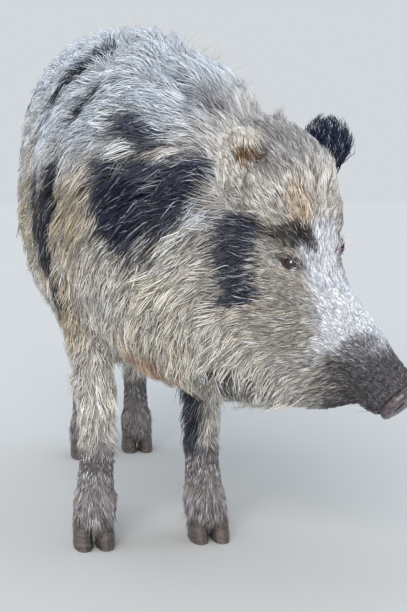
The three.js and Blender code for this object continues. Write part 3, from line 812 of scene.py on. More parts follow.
@dataclass
class Hide:
    """The skin: one closed surface that lies inside the solids of the flesh by the depth of the coat."""

    lie: Lie
    markings: Markings
    lids: Lids = field(default_factory=Lids)
    voxel: float = 0.0034
    ease: float = 0.4  # how strongly the flesh is smoothed
    ear_ease: float = 0.12
    ear_from: Triple = (0.062, 0.300, 0.095)  # to the side, behind and above this lie the ears
    depth_share: float = 0.60  # of the height of the coat's tips over the skin
    nose_bare: tuple[float, float] = (0.036, 0.062)  # the coat's depth starts between these, from the nose
    shallow: float = 0.0015  # a depth that needs no look at the thickness
    probe: float = 0.002  # the thickness is measured from just under the skin
    deep: float = 0.15  # and no farther than this
    solid_part: float = 0.20  # the thickness where nothing is met
    thin_share: float = 0.16  # the most of a part's thickness that the coat may take
    steps: int = 3
    body_share: float = 0.33  # of the faces of the body that are kept, away from the head
    head_box: Triple = (0.16, 0.40, -0.11)  # the head lies within this side and back, and above this
    snout_middle: Triple = (0.0, 0.045, 0.0)
    snout_reach: float = 0.066
    fine_eye: tuple[float, float] = (0.030, 0.022)  # round the eyes faces are halved within each of these
    mouth_below: float = -0.026  # the line of the lips at the disc, from the nose's middle
    mouth_drop: float = 0.012
    mouth_long: float = 0.104
    mouth_deep: float = 0.0030
    mouth_wide: float = 0.0035
    mouth_front: tuple[float, float] = (0.004, 0.014)
    wrinkle_deep: float = 0.0008
    wrinkle_long: float = 0.0095  # from one wrinkle of the snout to the next
    wrinkle_slant: float = 0.12
    wrinkle_front: tuple[float, float] = (0.008, 0.016)
    wrinkle_end: tuple[float, float] = (0.040, 0.060)
    snout_box: Triple = (0.075, 0.130, 0.080)  # the folds stay within this side, back and height
    unwrap_angle: float = math.radians(66)

    def build(self) -> bpy.types.Object:
        """Makes the skin from the solids of the flesh.

        Returns:
            The skin, with its markings as a colour of each point.
        """
        mesh = self.remeshed()
        surface = Surface.of_mesh(mesh)
        self.sink(surface)
        surface.write_points(mesh)
        mesh = self.thinned(mesh, surface)
        mesh = self.refined(mesh)
        surface = Surface.of_mesh(mesh)
        self.shape_head(surface)
        surface.write_points(mesh)
        mesh.polygons.foreach_set("use_smooth", np.ones(len(mesh.polygons), bool))
        skin = new_object("skin", mesh)
        self.unwrap(skin)
        self.colour(mesh, surface)
        return skin

    def remeshed(self) -> bpy.types.Mesh:
        """The solids of the flesh grown together, with the eyes, so that their sockets close."""
        joined = bmesh.new()
        for node in (*FLESH, "eye_left", "eye_right"):
            joined.from_mesh(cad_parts[node].data)
        bmesh.ops.remove_doubles(joined, verts=joined.verts, dist=WELD)
        raw = bpy.data.meshes.new("flesh")
        joined.to_mesh(raw)
        joined.free()
        carrier = new_object("flesh", raw)
        grow = carrier.modifiers.new("grow_together", "REMESH")
        grow.mode = "VOXEL"
        grow.voxel_size = self.voxel
        return evaluated(carrier, "skin")

    def sink(self, surface: Surface) -> None:
        """Smooths the flesh and moves it inside by the coat's depth, but never through a thin part."""
        place = HEAD.inside(surface.points)
        side, back, up = self.ear_from
        ear = (np.abs(place[:, 0]) > side) & (place[:, 1] > back) & (place[:, 2] > up)
        share = np.where(ear, self.ear_ease, self.ease)[:, None]
        surface.points = surface.eased(surface.points, 3, share)
        rows = self.lie.at(surface.points)
        height = rows[:, Column.LENGTH.value] * np.sin(rows[:, Column.LIFT.value])
        off_nose = np.linalg.norm(place, axis=1, keepdims=True)
        depth = height * self.depth_share * smoothstep(*self.nose_bare, off_nose)
        depth = np.minimum(depth, self.thin_share * self.thickness(surface, depth)[:, None])
        depth = surface.eased(depth, 6)
        for _ in range(self.steps):
            outward = unit(surface.eased(surface.normals(), 4))
            surface.points = surface.points - outward * depth / self.steps
            surface.points = surface.eased(surface.points, 2, 0.75 * share)

    def thickness(self, surface: Surface, depth: Array) -> Array:
        """How thick the flesh is under each point, where the coat is deep enough to matter."""
        solid = BVHTree.FromPolygons(surface.points.tolist(), surface.faces.tolist())
        normals = unit(surface.eased(surface.normals(), 3))
        thick = np.full(len(depth), self.solid_part)
        for at, (point, normal) in enumerate(zip(surface.points, normals, strict=True)):
            if depth[at, 0] < self.shallow:
                continue
            found = solid.ray_cast(Vector(point - normal * self.probe), Vector(-normal), self.deep)
            if found[3] is not None:
                thick[at] = found[3] + self.probe
        return thick

    def thinned(self, mesh: bpy.types.Mesh, surface: Surface) -> bpy.types.Mesh:
        """The mesh with fewer faces on the body and all of them on the head."""
        place = HEAD.inside(surface.points)
        side, back, low = self.head_box
        head = (place[:, 1] < back) & (np.abs(place[:, 0]) < side) & (place[:, 2] > low)
        carrier = new_object("thin", mesh)
        body = carrier.vertex_groups.new(name="body")
        body.add(np.flatnonzero(~head).tolist(), 1.0, "REPLACE")
        thin = carrier.modifiers.new("thin", "DECIMATE")
        thin.ratio = self.body_share
        thin.vertex_group = "body"
        thin.vertex_group_factor = 10.0
        carrier.modifiers.new("triangles", "TRIANGULATE")
        return evaluated(carrier, "skin")

    def refined(self, mesh: bpy.types.Mesh) -> bpy.types.Mesh:
        """The mesh with smaller faces on the snout, and the smallest round the eyes."""
        work = bmesh.new()
        work.from_mesh(mesh)
        snout = (HEAD.outside(np.array(self.snout_middle)), self.snout_reach)
        wide, narrow = ([(eye.centre, reach) for eye in EYES.values()] for reach in self.fine_eye)
        for spots in ([snout, *wide], narrow):
            edges = [
                edge
                for edge in work.edges
                if any((edge.verts[0].co - Vector(middle)).length < reach for middle, reach in spots)
            ]
            bmesh.ops.subdivide_edges(work, edges=edges, cuts=1, smooth=0.0)
            bmesh.ops.triangulate(work, faces=work.faces)
        work.to_mesh(mesh)
        work.free()
        return mesh

    def shape_head(self, surface: Surface) -> None:
        """Sets the lids, the mouth and the folds of the face."""
        for eye in EYES.values():
            place = eye.inside(surface.points)
            near = np.flatnonzero((np.hypot(place[:, 0], place[:, 1]) < self.lids.reach) & (place[:, 2] > 0))
            place = place[near]
            place[:, 2] = self.lids.drape(place)
            surface.points[near] = eye.outside(place)
        place = HEAD.inside(surface.points)
        side, back, up = place.T
        most_side, most_back, most_up = self.snout_box
        snout = (np.abs(side) < most_side) & (back < most_back) & (np.abs(up) < most_up)
        line = self.mouth_below - self.mouth_drop * (back / self.mouth_long) ** 2
        mouth = np.exp(-(((up - line) / self.mouth_wide) ** 2)) * smoothstep(*self.mouth_front, back)
        mouth *= 1.0 - smoothstep(self.mouth_long * 0.9, self.mouth_long, back)
        wrinkle = np.sin(2 * math.pi * (back + self.wrinkle_slant * np.abs(side)) / self.wrinkle_long)
        wrinkle *= smoothstep(*self.wrinkle_front, back) * (1.0 - smoothstep(*self.wrinkle_end, back))
        relief = (self.wrinkle_deep * wrinkle - self.mouth_deep * mouth) * snout
        surface.points += surface.normals() * relief[:, None]

    def unwrap(self, skin: bpy.types.Object) -> None:
        """Lays the skin out flat."""
        bpy.context.view_layer.objects.active = skin
        skin.select_set(True)
        skin.data.uv_layers.new(name=UNWRAP)
        bpy.ops.object.mode_set(mode="EDIT")
        bpy.ops.mesh.select_all(action="SELECT")
        bpy.ops.uv.smart_project(angle_limit=self.unwrap_angle, island_margin=0.004)
        bpy.ops.object.mode_set(mode="OBJECT")
        skin.select_set(False)

    def colour(self, mesh: bpy.types.Mesh, surface: Surface) -> None:
        """Gives the skin the coat's markings."""
        ground = self.lie.at(surface.points)[:, Column.TONE.value].copy()
        owner = face_owners(surface)
        for region in REGIONS.values():
            if region.tone:
                faces = np.isin(owner, [FLESH.index(node) for node in region.nodes])
                ground[np.unique(surface.faces[faces])] = region.tone.value
        colours = self.markings.over(surface.points, surface.eased(ground, 4))
        for eye in EYES.values():
            colours = self.lids.darkened(eye, surface.points, colours)
        paint(mesh, TINT, colours)


# ---- The coat ----


@dataclass(frozen=True)
class Region:
    """A piece of the coat.

    Attributes:
        nodes: The solids whose skin it grows on.
        slot: The name of the kind of coat; it is not used.
        from_y: Where it begins along the body.
        to_y: Where it ends.
        fine: How wide its strands are, as a share of the usual width.
        cover: How many strands lie over a place of the skin.
        tone: Its ground colour, where it isn't that of the guides.
    """

    nodes: tuple[str, ...]
    slot: str = "coat"
    from_y: float = -9.0
    to_y: float = 9.0
    fine: float = 1.0
    cover: float = 2.0
    tone: Tone | None = None


REGIONS: dict[str, Region] = {
    "coat_head_front": Region(("head",), to_y=-0.50, cover=2.4),
    "coat_head_rear": Region(("head",), from_y=-0.50, cover=2.4),
    "coat_neck": Region(("neck",), fine=0.88, cover=2.5),
    "coat_ear_left": Region(("ear_left",), "dark_coat", cover=3.2, tone=Tone.BLUE_BLACK),
    "coat_ear_right": Region(("ear_right",), cover=3.4, tone=Tone.CREAM),
    "coat_tail": Region(("tail",)),
}
TRUNK_CUTS = (-9.0, -0.24, -0.08, 0.08, 0.24, 0.40, 9.0)
REGIONS |= {
    f"coat_trunk_{number}": Region(
        ("trunk",), from_y=low, to_y=high, fine=0.9 if high < 0 else 1.25, cover=2.6 if high < 0 else 1.95
    )
    for number, (low, high) in enumerate(zip(TRUNK_CUTS[:-1], TRUNK_CUTS[1:], strict=True), start=1)
}
REGIONS |= {
    f"coat_{leg}_{part}": Region((f"{leg}_{part}_leg",), slot, cover=cover)
    for leg in LEGS
    for part, slot, cover in (("upper", "coat", 2.7), ("lower", "leg_coat", 2.1))
}


@dataclass
class Strands:
    """Strands of one piece of the coat, as arrays with a row for each strand."""

    paths: Array  # a place for each strand at each knot
    normals: Array  # the skin's outward direction there
    width: Array
    colour: Array
    patch: Array  # where the root lies on the unwrapped skin


@dataclass
class Fur:
    """The coat: pointed strands rooted in the skin, which lean together into locks."""

    skin: bpy.types.Object
    lie: Lie
    markings: Markings
    taper: float = 0.6  # the area of a strand as a share of its length by its width
    long_hair: float = 0.030  # from here on a strand may have one more knot
    bent: float = 0.55  # the share of long strands that have it
    tassel_strands: int = 520
    thin: float = 0.0008
    widening: float = 0.0125  # of a strand's width with its length
    lid_bare: tuple[float, float] = (0.0070, 0.0130)  # the bare lids end between these
    lid_long: float = 1.25  # they are longer than high
    rim_bare: tuple[float, float] = (0.004, 0.010)  # and the bare rim of the nose disc
    rim_reach: float = 0.060
    buried: float = 0.001  # how deep roots lie
    lock: int = 11  # strands to a lock
    pull: float = 0.62  # how far strands lean towards the middle of their lock at the tips
    most_pull: float = 0.95
    pull_bend: float = 1.2  # how late along its length a strand leans
    lock_reach: float = 0.022  # a strand farther than this from the middle stays apart
    droop: float = 1.20  # how far the lift falls from root to tip, as a share of the lift
    hover: float = 0.0008
    fetlock: float = 0.092  # hair rooted lower hangs straight down past the skin's end, over the hoof
    feather: tuple[float, float] = (0.024, 0.044)  # how long such hair is
    clear: float = 0.012  # it ends this far over the floor
    brink: float = -0.35  # how far down the skin faces where the hair starts to hang
    splay: float = 0.24  # how far it hangs away from the leg
    unruly: tuple[float, float] = (0.014, 0.040)  # hair of these lengths goes from sleek to shaggy
    stray: float = 0.04  # the share of strands that stand out
    fringe: float = 0.35  # how much longer and steeper hair is at an ear's rim
    mingle: float = 0.0035  # how far dark and pale strands run into each other at a marking's edge
    dark_under: float = 0.10  # hair darker than this is dark
    pale_over: float = 0.25  # and lighter than this pale
    mixed: tuple[float, float] = (0.08, 0.30)  # hair between these varies most
    random: np.random.Generator = field(default_factory=lambda: np.random.default_rng(SEED))

    def __post_init__(self) -> None:
        """Reads the skin."""
        mesh = self.skin.data
        self.surface = Surface.of_mesh(mesh)
        self.smooth_normals = unit(self.surface.eased(self.surface.normals(), 3))
        self.flatness = np.linalg.norm(self.surface.eased(self.surface.normals(), 8), axis=1)
        self.rows = self.lie.at(self.surface.points)
        self.tree = KDTree(len(self.surface.points))
        for at, point in enumerate(self.surface.points):
            self.tree.insert(point, at)
        self.tree.balance()
        flat = np.empty(len(mesh.loops) * 2, np.float32)
        mesh.uv_layers[UNWRAP].data.foreach_get("uv", flat)
        self.patches = flat.reshape(-1, 3, 2)
        self.owner = face_owners(self.surface)

    def nearest(self, points: Array) -> Array:
        """The number of the skin's nearest point to each place."""
        return np.array([self.tree.find(point)[1] for point in points])

    def bald(self, points: Array) -> Array:
        """How bare the skin is, from 0 to 1: the lids and the rim of the nose disc."""
        bare = np.zeros(len(points))
        for eye in EYES.values():
            place = eye.inside(points)
            across = np.hypot(place[:, 0] / self.lid_long, place[:, 1])
            bare = np.maximum(bare, (1.0 - smoothstep(*self.lid_bare, across)) * (place[:, 2] > 0))
        place = HEAD.inside(points)
        rim = 1.0 - smoothstep(*self.rim_bare, place[:, 1])
        rim *= np.linalg.norm(place, axis=1) < self.rim_reach
        return np.maximum(bare, rim)

    def scatter(self, faces: Array, region: Region) -> tuple[Array, Array]:
        """Sows roots over some faces, as densely as the strands there need.

        Args:
            faces: The numbers of the faces.
            region: The piece that they grow in.

        Returns:
            The roots' places, and their places on the unwrapped skin.
        """
        corners = self.surface.faces[faces]
        area = np.linalg.norm(self.surface.face_normals()[faces], axis=1)
        length = self.rows[corners, Column.LENGTH.value].mean((1, 2))
        width = (self.thin + self.widening * length) * region.fine
        wanted = area * region.cover / (self.taper * width * length)
        wanted *= 1.0 - self.bald(self.surface.points[corners].mean(1))
        count = np.floor(wanted + self.random.random(len(faces))).astype(int)
        chosen = np.repeat(np.arange(len(faces)), count)
        share = self.random.dirichlet((1.0, 1.0, 1.0), len(chosen))
        roots = (self.surface.points[corners[chosen]] * share[:, :, None]).sum(1)
        patch = (self.patches[faces[chosen]] * share[:, :, None]).sum(1)
        return roots, patch

    def follow(
        self, roots: Array, length: Array, lift: Array, turn: Array, knots: Array
    ) -> tuple[Array, Array]:
        """Lets strands grow along the skin.

        Args:
            roots: Where they start.
            length: How long each is.
            lift: How far each stands off at its root.
            turn: How far each is turned aside from the coat's lie.
            knots: The shares of the length where a strand has a knot, from 0 to 1.

        Returns:
            The knots of each strand, and the skin's outward direction there.
        """
        near = self.nearest(roots)
        normal = self.smooth_normals[near]
        low = roots[:, 2:3] < self.fetlock
        length = np.where(low[:, 0], np.minimum(length, roots[:, 2] - self.clear), length)
        over = low & (normal[:, 2:3] < self.brink)
        down = unit(normal * np.array([self.splay, self.splay, 0.0]) + np.array([0.0, 0.0, -1.0]))
        at = roots - normal * self.buried
        paths, normals = [at], [normal]
        for before, after in zip(knots[:-1], knots[1:], strict=True):
            flat = self.laid(self.rows[near, Column.WAY.value], normal)
            aside = np.cross(normal, flat)
            flat = flat * np.cos(turn)[:, None] + aside * np.sin(turn)[:, None]
            rise = lift * (1.0 - self.droop * (before + after) / 2)
            way = flat * np.cos(rise)[:, None] + normal * np.sin(rise)[:, None]
            way = np.where(over, down, way)
            at = at + way * (length * (after - before))[:, None]
            near = self.nearest(at)
            under = self.smooth_normals[near]
            over = over | (low & (under[:, 2:3] < self.brink))
            normal = np.where(over, normal, under)
            height = ((at - self.surface.points[near]) * normal).sum(1)
            push = np.maximum(self.hover - height, 0.0)[:, None]
            at = at + np.where(over, 0.0, push) * normal
            paths.append(at)
            normals.append(normal)
        return np.stack(paths, axis=1), np.stack(normals, axis=1)

    @staticmethod
    def laid(ways: Array, normals: Array) -> Array:
        """Directions laid flat on the skin."""
        return unit(ways - normals * (ways * normals).sum(1)[:, None])

    def locks(self, roots: Array) -> tuple[Array, Array]:
        """Gathers strands into locks.

        Args:
            roots: Where the strands start.

        Returns:
            The number of each strand's lock, and the strand in the middle of each lock.
        """
        heads = self.random.choice(len(roots), max(len(roots) // self.lock, 1), replace=False)
        tree = KDTree(len(heads))
        for at, root in enumerate(roots[heads]):
            tree.insert(root, at)
        tree.balance()
        return np.array([tree.find(root)[1] for root in roots]), heads

    def lean(self, paths: Array, lock: Array, heads: Array, knots: Array) -> Array:
        """Leans the strands of each lock together towards their tips."""
        target = paths[heads[lock]]
        apart = np.linalg.norm(target[:, 0] - paths[:, 0], axis=1)
        pull = self.pull * self.random.uniform(0.5, 1.3, len(paths)) * (apart < self.lock_reach)
        share = pull[:, None] * knots[None] ** self.pull_bend
        return paths + (target - paths) * np.minimum(share, self.most_pull)[:, :, None]

    def dye(self, places: Array, ground: Array, lock: Array) -> Array:
        """The colour of each strand: that of its place, with pale hair over dark and dark hair under pale.

        Args:
            places: The middles of the strands.
            ground: The colour there without the markings.
            lock: The number of each strand's lock.

        Returns:
            Rows of colours.
        """
        random = self.random
        count = len(places)
        places = places + random.normal(0.0, self.mingle, places.shape)
        colour = self.markings.over(places, ground)
        light = colour.mean(1)
        chance = random.random(count)
        dark = light < self.dark_under
        # The second colour is pale hair with a painted sky highlight, which grizzled and bright strands take.
        pale_sky_highlight, cream = np.array(Tone.PALE_WITH_SKY_HIGHLIGHT.value), np.array(Tone.CREAM.value)
        grizzled = dark & (chance < 0.13)
        colour[grizzled] = (0.25 * cream + 0.75 * pale_sky_highlight) * random.uniform(0.3, 0.8, (grizzled.sum(), 1))
        pale = light > self.pale_over
        shaded = pale & (chance < 0.06)
        colour[shaded] *= 0.32
        bright = pale & (chance > 0.86)
        colour[bright] = 0.5 * (colour[bright] + pale_sky_highlight)
        tan = pale & (chance > 0.07) & (chance < 0.20)
        colour[tan] = 0.6 * colour[tan] + 0.4 * np.array(Tone.TAN.value) * 0.8
        mixed = (light > self.mixed[0]) & (light < self.mixed[1])
        colour[mixed & (chance < 0.28)] *= 0.38
        colour[mixed & (chance > 0.82)] *= 2.1
        shade = random.uniform(0.78, 1.22, count) * random.uniform(0.74, 1.20, lock.max() + 1)[lock]
        return np.minimum(colour * shade[:, None], 0.97)

    def strands(self, roots: Array, patch: Array, knots: Array, region: Region) -> Strands:
        """Makes the strands that grow from some roots."""
        random = self.random
        near = self.nearest(roots)
        count = len(roots)
        lock, heads = self.locks(roots)
        unruly = smoothstep(*self.unruly, self.rows[near, Column.LENGTH.value][:, 0])
        kin = random.normal(0.0, 1.0, (len(heads), 3))[lock]
        length = self.rows[near, Column.LENGTH.value][:, 0] * random.uniform(0.70, 1.14, count)
        length *= 1.0 + 0.10 * unruly * np.clip(kin[:, 0], -2.0, 1.5)
        lift = self.rows[near, Column.LIFT.value][:, 0] * random.uniform(0.75, 1.2, count)
        lift += 0.16 * unruly * np.clip(kin[:, 1], -1.0, 2.0)
        hanging = roots[:, 2] < self.fetlock
        length = np.where(hanging, random.uniform(*self.feather, count), length)
        stray = random.random(count) < self.stray
        length = np.where(stray, length * 1.20, length)
        lift = np.where(stray, lift + 0.15, lift)
        if region.tone:
            rim = 1.0 - smoothstep(0.60, 0.90, self.flatness[near])
            length = length * (1.0 + self.fringe * rim)
            lift = lift + self.fringe * rim
        swirl = 0.26 * value_noise(roots, 0.045, 21) + 0.20 * value_noise(roots, 0.016, 22)
        turn = swirl + random.normal(0.0, 0.09, count) + 0.17 * unruly * kin[:, 2]
        paths, normals = self.follow(roots, length, lift, turn, knots)
        paths += self.wave(roots, paths, normals, length, knots)
        paths = self.lean(paths, lock, heads, knots)
        width = (self.thin + self.widening * length) * region.fine * random.uniform(0.7, 1.25, count)
        ground = self.rows[near, Column.TONE.value].copy()
        if region.tone:
            ground[:] = region.tone.value
        middle = 0.5 * (paths[:, 0] + paths[:, -1])
        return Strands(paths, normals, width, self.dye(middle, ground, lock), patch)

    def wave(self, roots: Array, paths: Array, normals: Array, length: Array, knots: Array) -> Array:
        """Sideways curls, which strands near each other share, strongest on the flanks."""
        flank = smoothstep(-0.34, -0.24, roots[:, 1]) * smoothstep(0.22, 0.34, roots[:, 2])
        reach = length * (0.060 + 0.035 * flank)
        phase = 5.0 * value_noise(roots, 0.020, 31) + self.random.uniform(-0.7, 0.7, len(roots))
        along = unit(paths[:, -1] - paths[:, 0])
        aside = np.cross(normals[:, 0], along)
        swing = np.sin(phase[:, None] + knots[None] * 6.5) - np.sin(phase)[:, None]
        swing = swing * np.minimum(knots[None] * 2.0, 1.0)
        return aside[:, None] * (swing * reach[:, None])[:, :, None]

    def piece(self, name: str, region: Region) -> bpy.types.Object | None:
        """One piece of the coat, or None where no face belongs to it."""
        numbers = [FLESH.index(node) for node in region.nodes]
        centres = self.surface.points[self.surface.faces][:, :, 1].mean(1)
        inside = np.isin(self.owner, numbers) & (centres >= region.from_y) & (centres < region.to_y)
        roots, patch = self.scatter(np.flatnonzero(inside), region)
        length = self.rows[self.nearest(roots), Column.LENGTH.value][:, 0]
        groups = []
        bent = (length >= self.long_hair) & (self.random.random(len(length)) < self.bent)
        for wanted, knots in ((bent, LONG_KNOTS), (~bent, SHORT_KNOTS)):
            if wanted.sum() > 1:
                groups.append((self.strands(roots[wanted], patch[wanted], knots, region), knots))
        return woven(name, groups)

    def tassel(self) -> bpy.types.Object:
        """The tuft at the tail's end, which takes the place of its solid."""
        random = self.random
        low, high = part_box("tail_tassel")
        centres = self.surface.points[self.surface.faces].mean(1)
        ends = np.flatnonzero((self.owner == FLESH.index("tail")) & (centres[:, 2] < high.z + 0.030))
        chosen = random.choice(ends, self.tassel_strands)
        count = len(chosen)
        share = random.dirichlet((1.0, 1.0, 1.0), count)
        roots = (self.surface.points[self.surface.faces[chosen]] * share[:, :, None]).sum(1)
        patch = (self.patches[chosen] * share[:, :, None]).sum(1)
        middle = np.array([(low.x + high.x) / 2, (low.y + high.y) / 2, 0.0])
        aside = (roots - middle) * np.array([1.0, 1.0, 0.0])
        tips = middle + aside * random.uniform(0.3, 1.5, (count, 1)) + random.normal(0.0, 0.004, (count, 3))
        tips[:, 2] = low.z + random.uniform(0.0, 0.6, count) ** 2 * (roots[:, 2] - low.z)
        at = LONG_KNOTS[None, :, None]
        paths = roots[:, None] + (tips - roots)[:, None] * at + aside[:, None] * 0.7 * np.sin(math.pi * at)
        normals = np.repeat(unit(aside)[:, None], len(LONG_KNOTS), axis=1)
        colour = np.array(Tone.BLUE_BLACK.value) * random.uniform(0.8, 2.2, (count, 1))
        strands = Strands(paths, normals, random.uniform(0.0010, 0.0018, count), colour, patch)
        return woven("coat_tassel", [(strands, LONG_KNOTS)])

    def roots_near(self, places: Array) -> tuple[Array, Array, Array]:
        """Where bristles grow nearest to some places, with the skin's outward direction and unwrap there."""
        centres = self.surface.points[self.surface.faces].mean(1)
        near = self.nearest(places)
        faces = np.array([np.argmin(((centres - point) ** 2).sum(1)) for point in self.surface.points[near]])
        return centres[faces], self.smooth_normals[near], self.patches[faces].mean(1)


LONG_KNOTS = np.array([0.0, 0.34, 0.70, 1.0])
SHORT_KNOTS = np.array([0.0, 0.50, 1.0])
PATCH = 0.0030  # the width of a strand's place on the unwrapped skin
BELLY = {0.0: 0.75, 0.34: 1.0, 0.50: 0.85, 0.70: 0.72}  # a strand's width along its length
# A strand's brightness is painted shade: darkest at the root, deep in the coat, and lightest at the tip.
SHADE = {0.0: 0.62, 0.34: 0.94, 0.50: 1.00, 0.70: 1.06, 1.0: 1.14}  # and its brightness


def woven(name: str, groups: list[tuple[Strands, Array]]) -> bpy.types.Object:
    """Joins strands into one mesh: each is a three-sided spike with a closed root.

    Args:
        name: The piece's name.
        groups: Strands with the knots that they have.

    Returns:
        The piece, with its colours and its places on the unwrapped skin.
    """
    points, quads, triangles, colours, flat = [], [], [], [], []
    first = 0
    for strands, knots in groups:
        count, rings = len(strands.width), len(knots) - 1
        size = rings * 3 + 1
        paths = strands.paths
        forward = np.empty((count, rings, 3))
        forward[:, 0] = paths[:, 1] - paths[:, 0]
        for ring in range(1, rings):
            forward[:, ring] = paths[:, ring + 1] - paths[:, ring - 1]
        forward = unit(forward)
        aside = unit(np.cross(forward, strands.normals[:, :rings]))
        upward = np.cross(aside, forward)
        half = 0.5 * strands.width[:, None] * np.array([BELLY[float(knot)] for knot in knots[:-1]])
        half = half[:, :, None]
        spike = np.empty((count, size, 3))
        spike[:, 0 : rings * 3 : 3] = paths[:, :rings] - aside * half
        spike[:, 1 : rings * 3 : 3] = paths[:, :rings] + aside * half
        spike[:, 2 : rings * 3 : 3] = paths[:, :rings] + upward * half
        spike[:, -1] = paths[:, -1]
        tint = np.empty((count, size, 3))
        place = np.empty((count, size, 2))
        for ring, knot in enumerate(knots):
            for corner in range(3 if ring < rings else 1):
                at = ring * 3 + corner
                tint[:, at] = strands.colour * SHADE[float(knot)]
                step = np.array([(0.0 if corner == 2 else corner - 0.5), knot - 0.5]) * PATCH
                place[:, at] = strands.patch + step
        base = first + np.arange(count)[:, None] * size
        for one, other in ((1, 0), (0, 2), (2, 1)):
            for ring in range(rings - 1):
                low = ring * 3
                quads.append(base + np.array([[low + one, low + other, low + 3 + other, low + 3 + one]]))
            low = (rings - 1) * 3
            triangles.append(base + np.array([[low + one, low + other, size - 1]]))
        triangles.append(base + np.array([[0, 1, 2]]))
        points.append(spike.reshape(-1, 3))
        colours.append(tint.reshape(-1, 3))
        flat.append(place.reshape(-1, 2))
        first += count * size
    faces = [np.concatenate(quads), np.concatenate(triangles)]
    mesh = mesh_of(name, np.concatenate(points), faces)
    paint(mesh, TINT, np.concatenate(colours))
    lay_out(mesh, np.concatenate(flat))
    return new_object(name, mesh)


def lay_out(mesh: bpy.types.Mesh, places: Array) -> None:
    """Gives a mesh its unwrap, from one place for each of its points."""
    corners = np.empty(len(mesh.loops), np.int32)
    mesh.loops.foreach_get("vertex_index", corners)
    layer = mesh.uv_layers.new(name=UNWRAP)
    layer.data.foreach_set("uv", places[corners].astype(np.float32).ravel())


# ---- Eyes, nose and hooves ----


def regrown(name: str, node: str, voxel: float, rounds: int) -> tuple[bpy.types.Object, Surface]:
    """A finer and rounder copy of a solid.

    Args:
        name: The copy's name.
        node: The solid.
        voxel: The size of the copy's faces.
        rounds: How often it is smoothed.

    Returns:
        The copy and its arrays.
    """
    joined = bmesh.new()
    joined.from_mesh(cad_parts[node].data)
    bmesh.ops.remove_doubles(joined, verts=joined.verts, dist=WELD)
    raw = bpy.data.meshes.new(name)
    joined.to_mesh(raw)
    joined.free()
    carrier = new_object("carrier", raw)
    grow = carrier.modifiers.new("grow", "REMESH")
    grow.mode = "VOXEL"
    grow.voxel_size = voxel
    mesh = evaluated(carrier, name)
    surface = Surface.of_mesh(mesh)
    surface.points = surface.eased(surface.points, rounds, 0.5)
    surface.write_points(mesh)
    mesh.polygons.foreach_set("use_smooth", np.ones(len(mesh.polygons), bool))
    return new_object(name, mesh), surface


@dataclass
class Eye:
    """An eyeball with its cornea."""

    side: str
    place: EyePlace
    radius: float = 0.0134
    cornea: float = 0.75  # the angle from the middle of the gaze to the cornea's rim
    bulge: float = 0.0007
    rings: int = 26
    spokes: int = 40

    def build(self) -> bpy.types.Object:
        """Makes the ball as rings round the gaze."""
        angle = np.linspace(0.0, math.pi, self.rings + 1)
        turn = np.linspace(0.0, 2 * math.pi, self.spokes, endpoint=False)
        radius = self.radius + self.bulge * (1.0 - smoothstep(0.0, self.cornea, angle))
        inner = angle[1:-1, None]
        ball = np.stack(
            [
                np.sin(inner) * np.cos(turn),
                np.sin(inner) * np.sin(turn),
                np.cos(inner) * np.ones_like(turn),
            ],
            axis=-1,
        )
        ball = (ball * radius[1:-1, None, None]).reshape(-1, 3)
        poles = np.array([[0.0, 0.0, radius[0]], [0.0, 0.0, -radius[-1]]])
        points = np.concatenate([ball, poles])
        here = np.arange(self.spokes)
        there = (here + 1) % self.spokes
        quads = []
        for ring in range(self.spokes, len(ball), self.spokes):
            outer = ring - self.spokes
            quads.append(np.stack([ring + here, ring + there, outer + there, outer + here], axis=1))
        last = len(ball) - self.spokes
        caps = [
            np.stack([np.full_like(here, len(ball)), here, there], axis=1),
            np.stack([np.full_like(here, len(ball) + 1), last + there, last + here], axis=1),
        ]
        faces = [np.concatenate(quads), np.concatenate(caps)]
        mesh = mesh_of(f"eyeball_{self.side}", self.place.outside(points), faces)
        if self.handed() < 0:
            mesh.flip_normals()
        gaze = mesh.attributes.new(GAZE, "FLOAT", "POINT")
        gaze.data.foreach_set("value", np.concatenate([np.repeat(angle[1:-1], self.spokes), [0.0, math.pi]]))
        eye = new_object(f"eyeball_{self.side}", mesh)
        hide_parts(f"eye_{self.side}")
        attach(eye, "root")
        return eye

    def handed(self) -> float:
        """Positive where the eye's axes are right-handed."""
        return float(np.cross(self.place.along, self.place.upward) @ self.place.outward)


GAZE = "gaze_angle"


@dataclass
class NoseDisc:
    """The gristly disc at the end of the snout, with its two nostrils."""

    nostril: float = 0.0105
    nostril_side: float = 0.017
    voxel: float = 0.0010

    def build(self) -> bpy.types.Object:
        """Makes the disc from its solid, rounder and with wrinkles."""
        disc, surface = regrown("nose_leather", "nose_disc", self.voxel, 5)
        place = HEAD.inside(surface.points)
        ring = np.hypot(place[:, 0] / 0.039, place[:, 2] / 0.034)
        groove = 0.0008 * np.exp(-(((ring - 0.84) / 0.05) ** 2)) * (place[:, 1] < 0.0)
        cleft = 0.0010 * np.exp(-((place[:, 0] / 0.002) ** 2)) * (place[:, 1] < 0.0)
        surface.points = surface.points - surface.normals() * (groove + cleft)[:, None]
        surface.write_points(disc.data)
        # The nostrils are painted near black: painted shade inside them.
        hole = np.hypot(np.abs(place[:, 0]) - self.nostril_side, place[:, 2])
        inside = (1.0 - smoothstep(0.75, 1.02, hole / self.nostril)) * (place[:, 1] > -0.0055)
        paint(disc.data, TINT, (1.0 - 0.9 * inside)[:, None] * np.ones(3))
        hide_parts("nose_disc")
        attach(disc, "root")
        return disc


@dataclass
class Horn:
    """A hoof or a dewclaw: its solid, rounder."""

    node: str
    voxel: float = 0.0012

    def build(self) -> bpy.types.Object:
        """Makes the horn from its solid and keeps what stands on the floor flat."""
        horn, surface = regrown(f"horn_{self.node}", self.node, self.voxel, 12)
        surface.points[:, 2] = np.maximum(surface.points[:, 2], 0.0)
        surface.write_points(horn.data)
        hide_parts(self.node)
        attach(horn, "root")
        return horn


# ---- Bristles ----


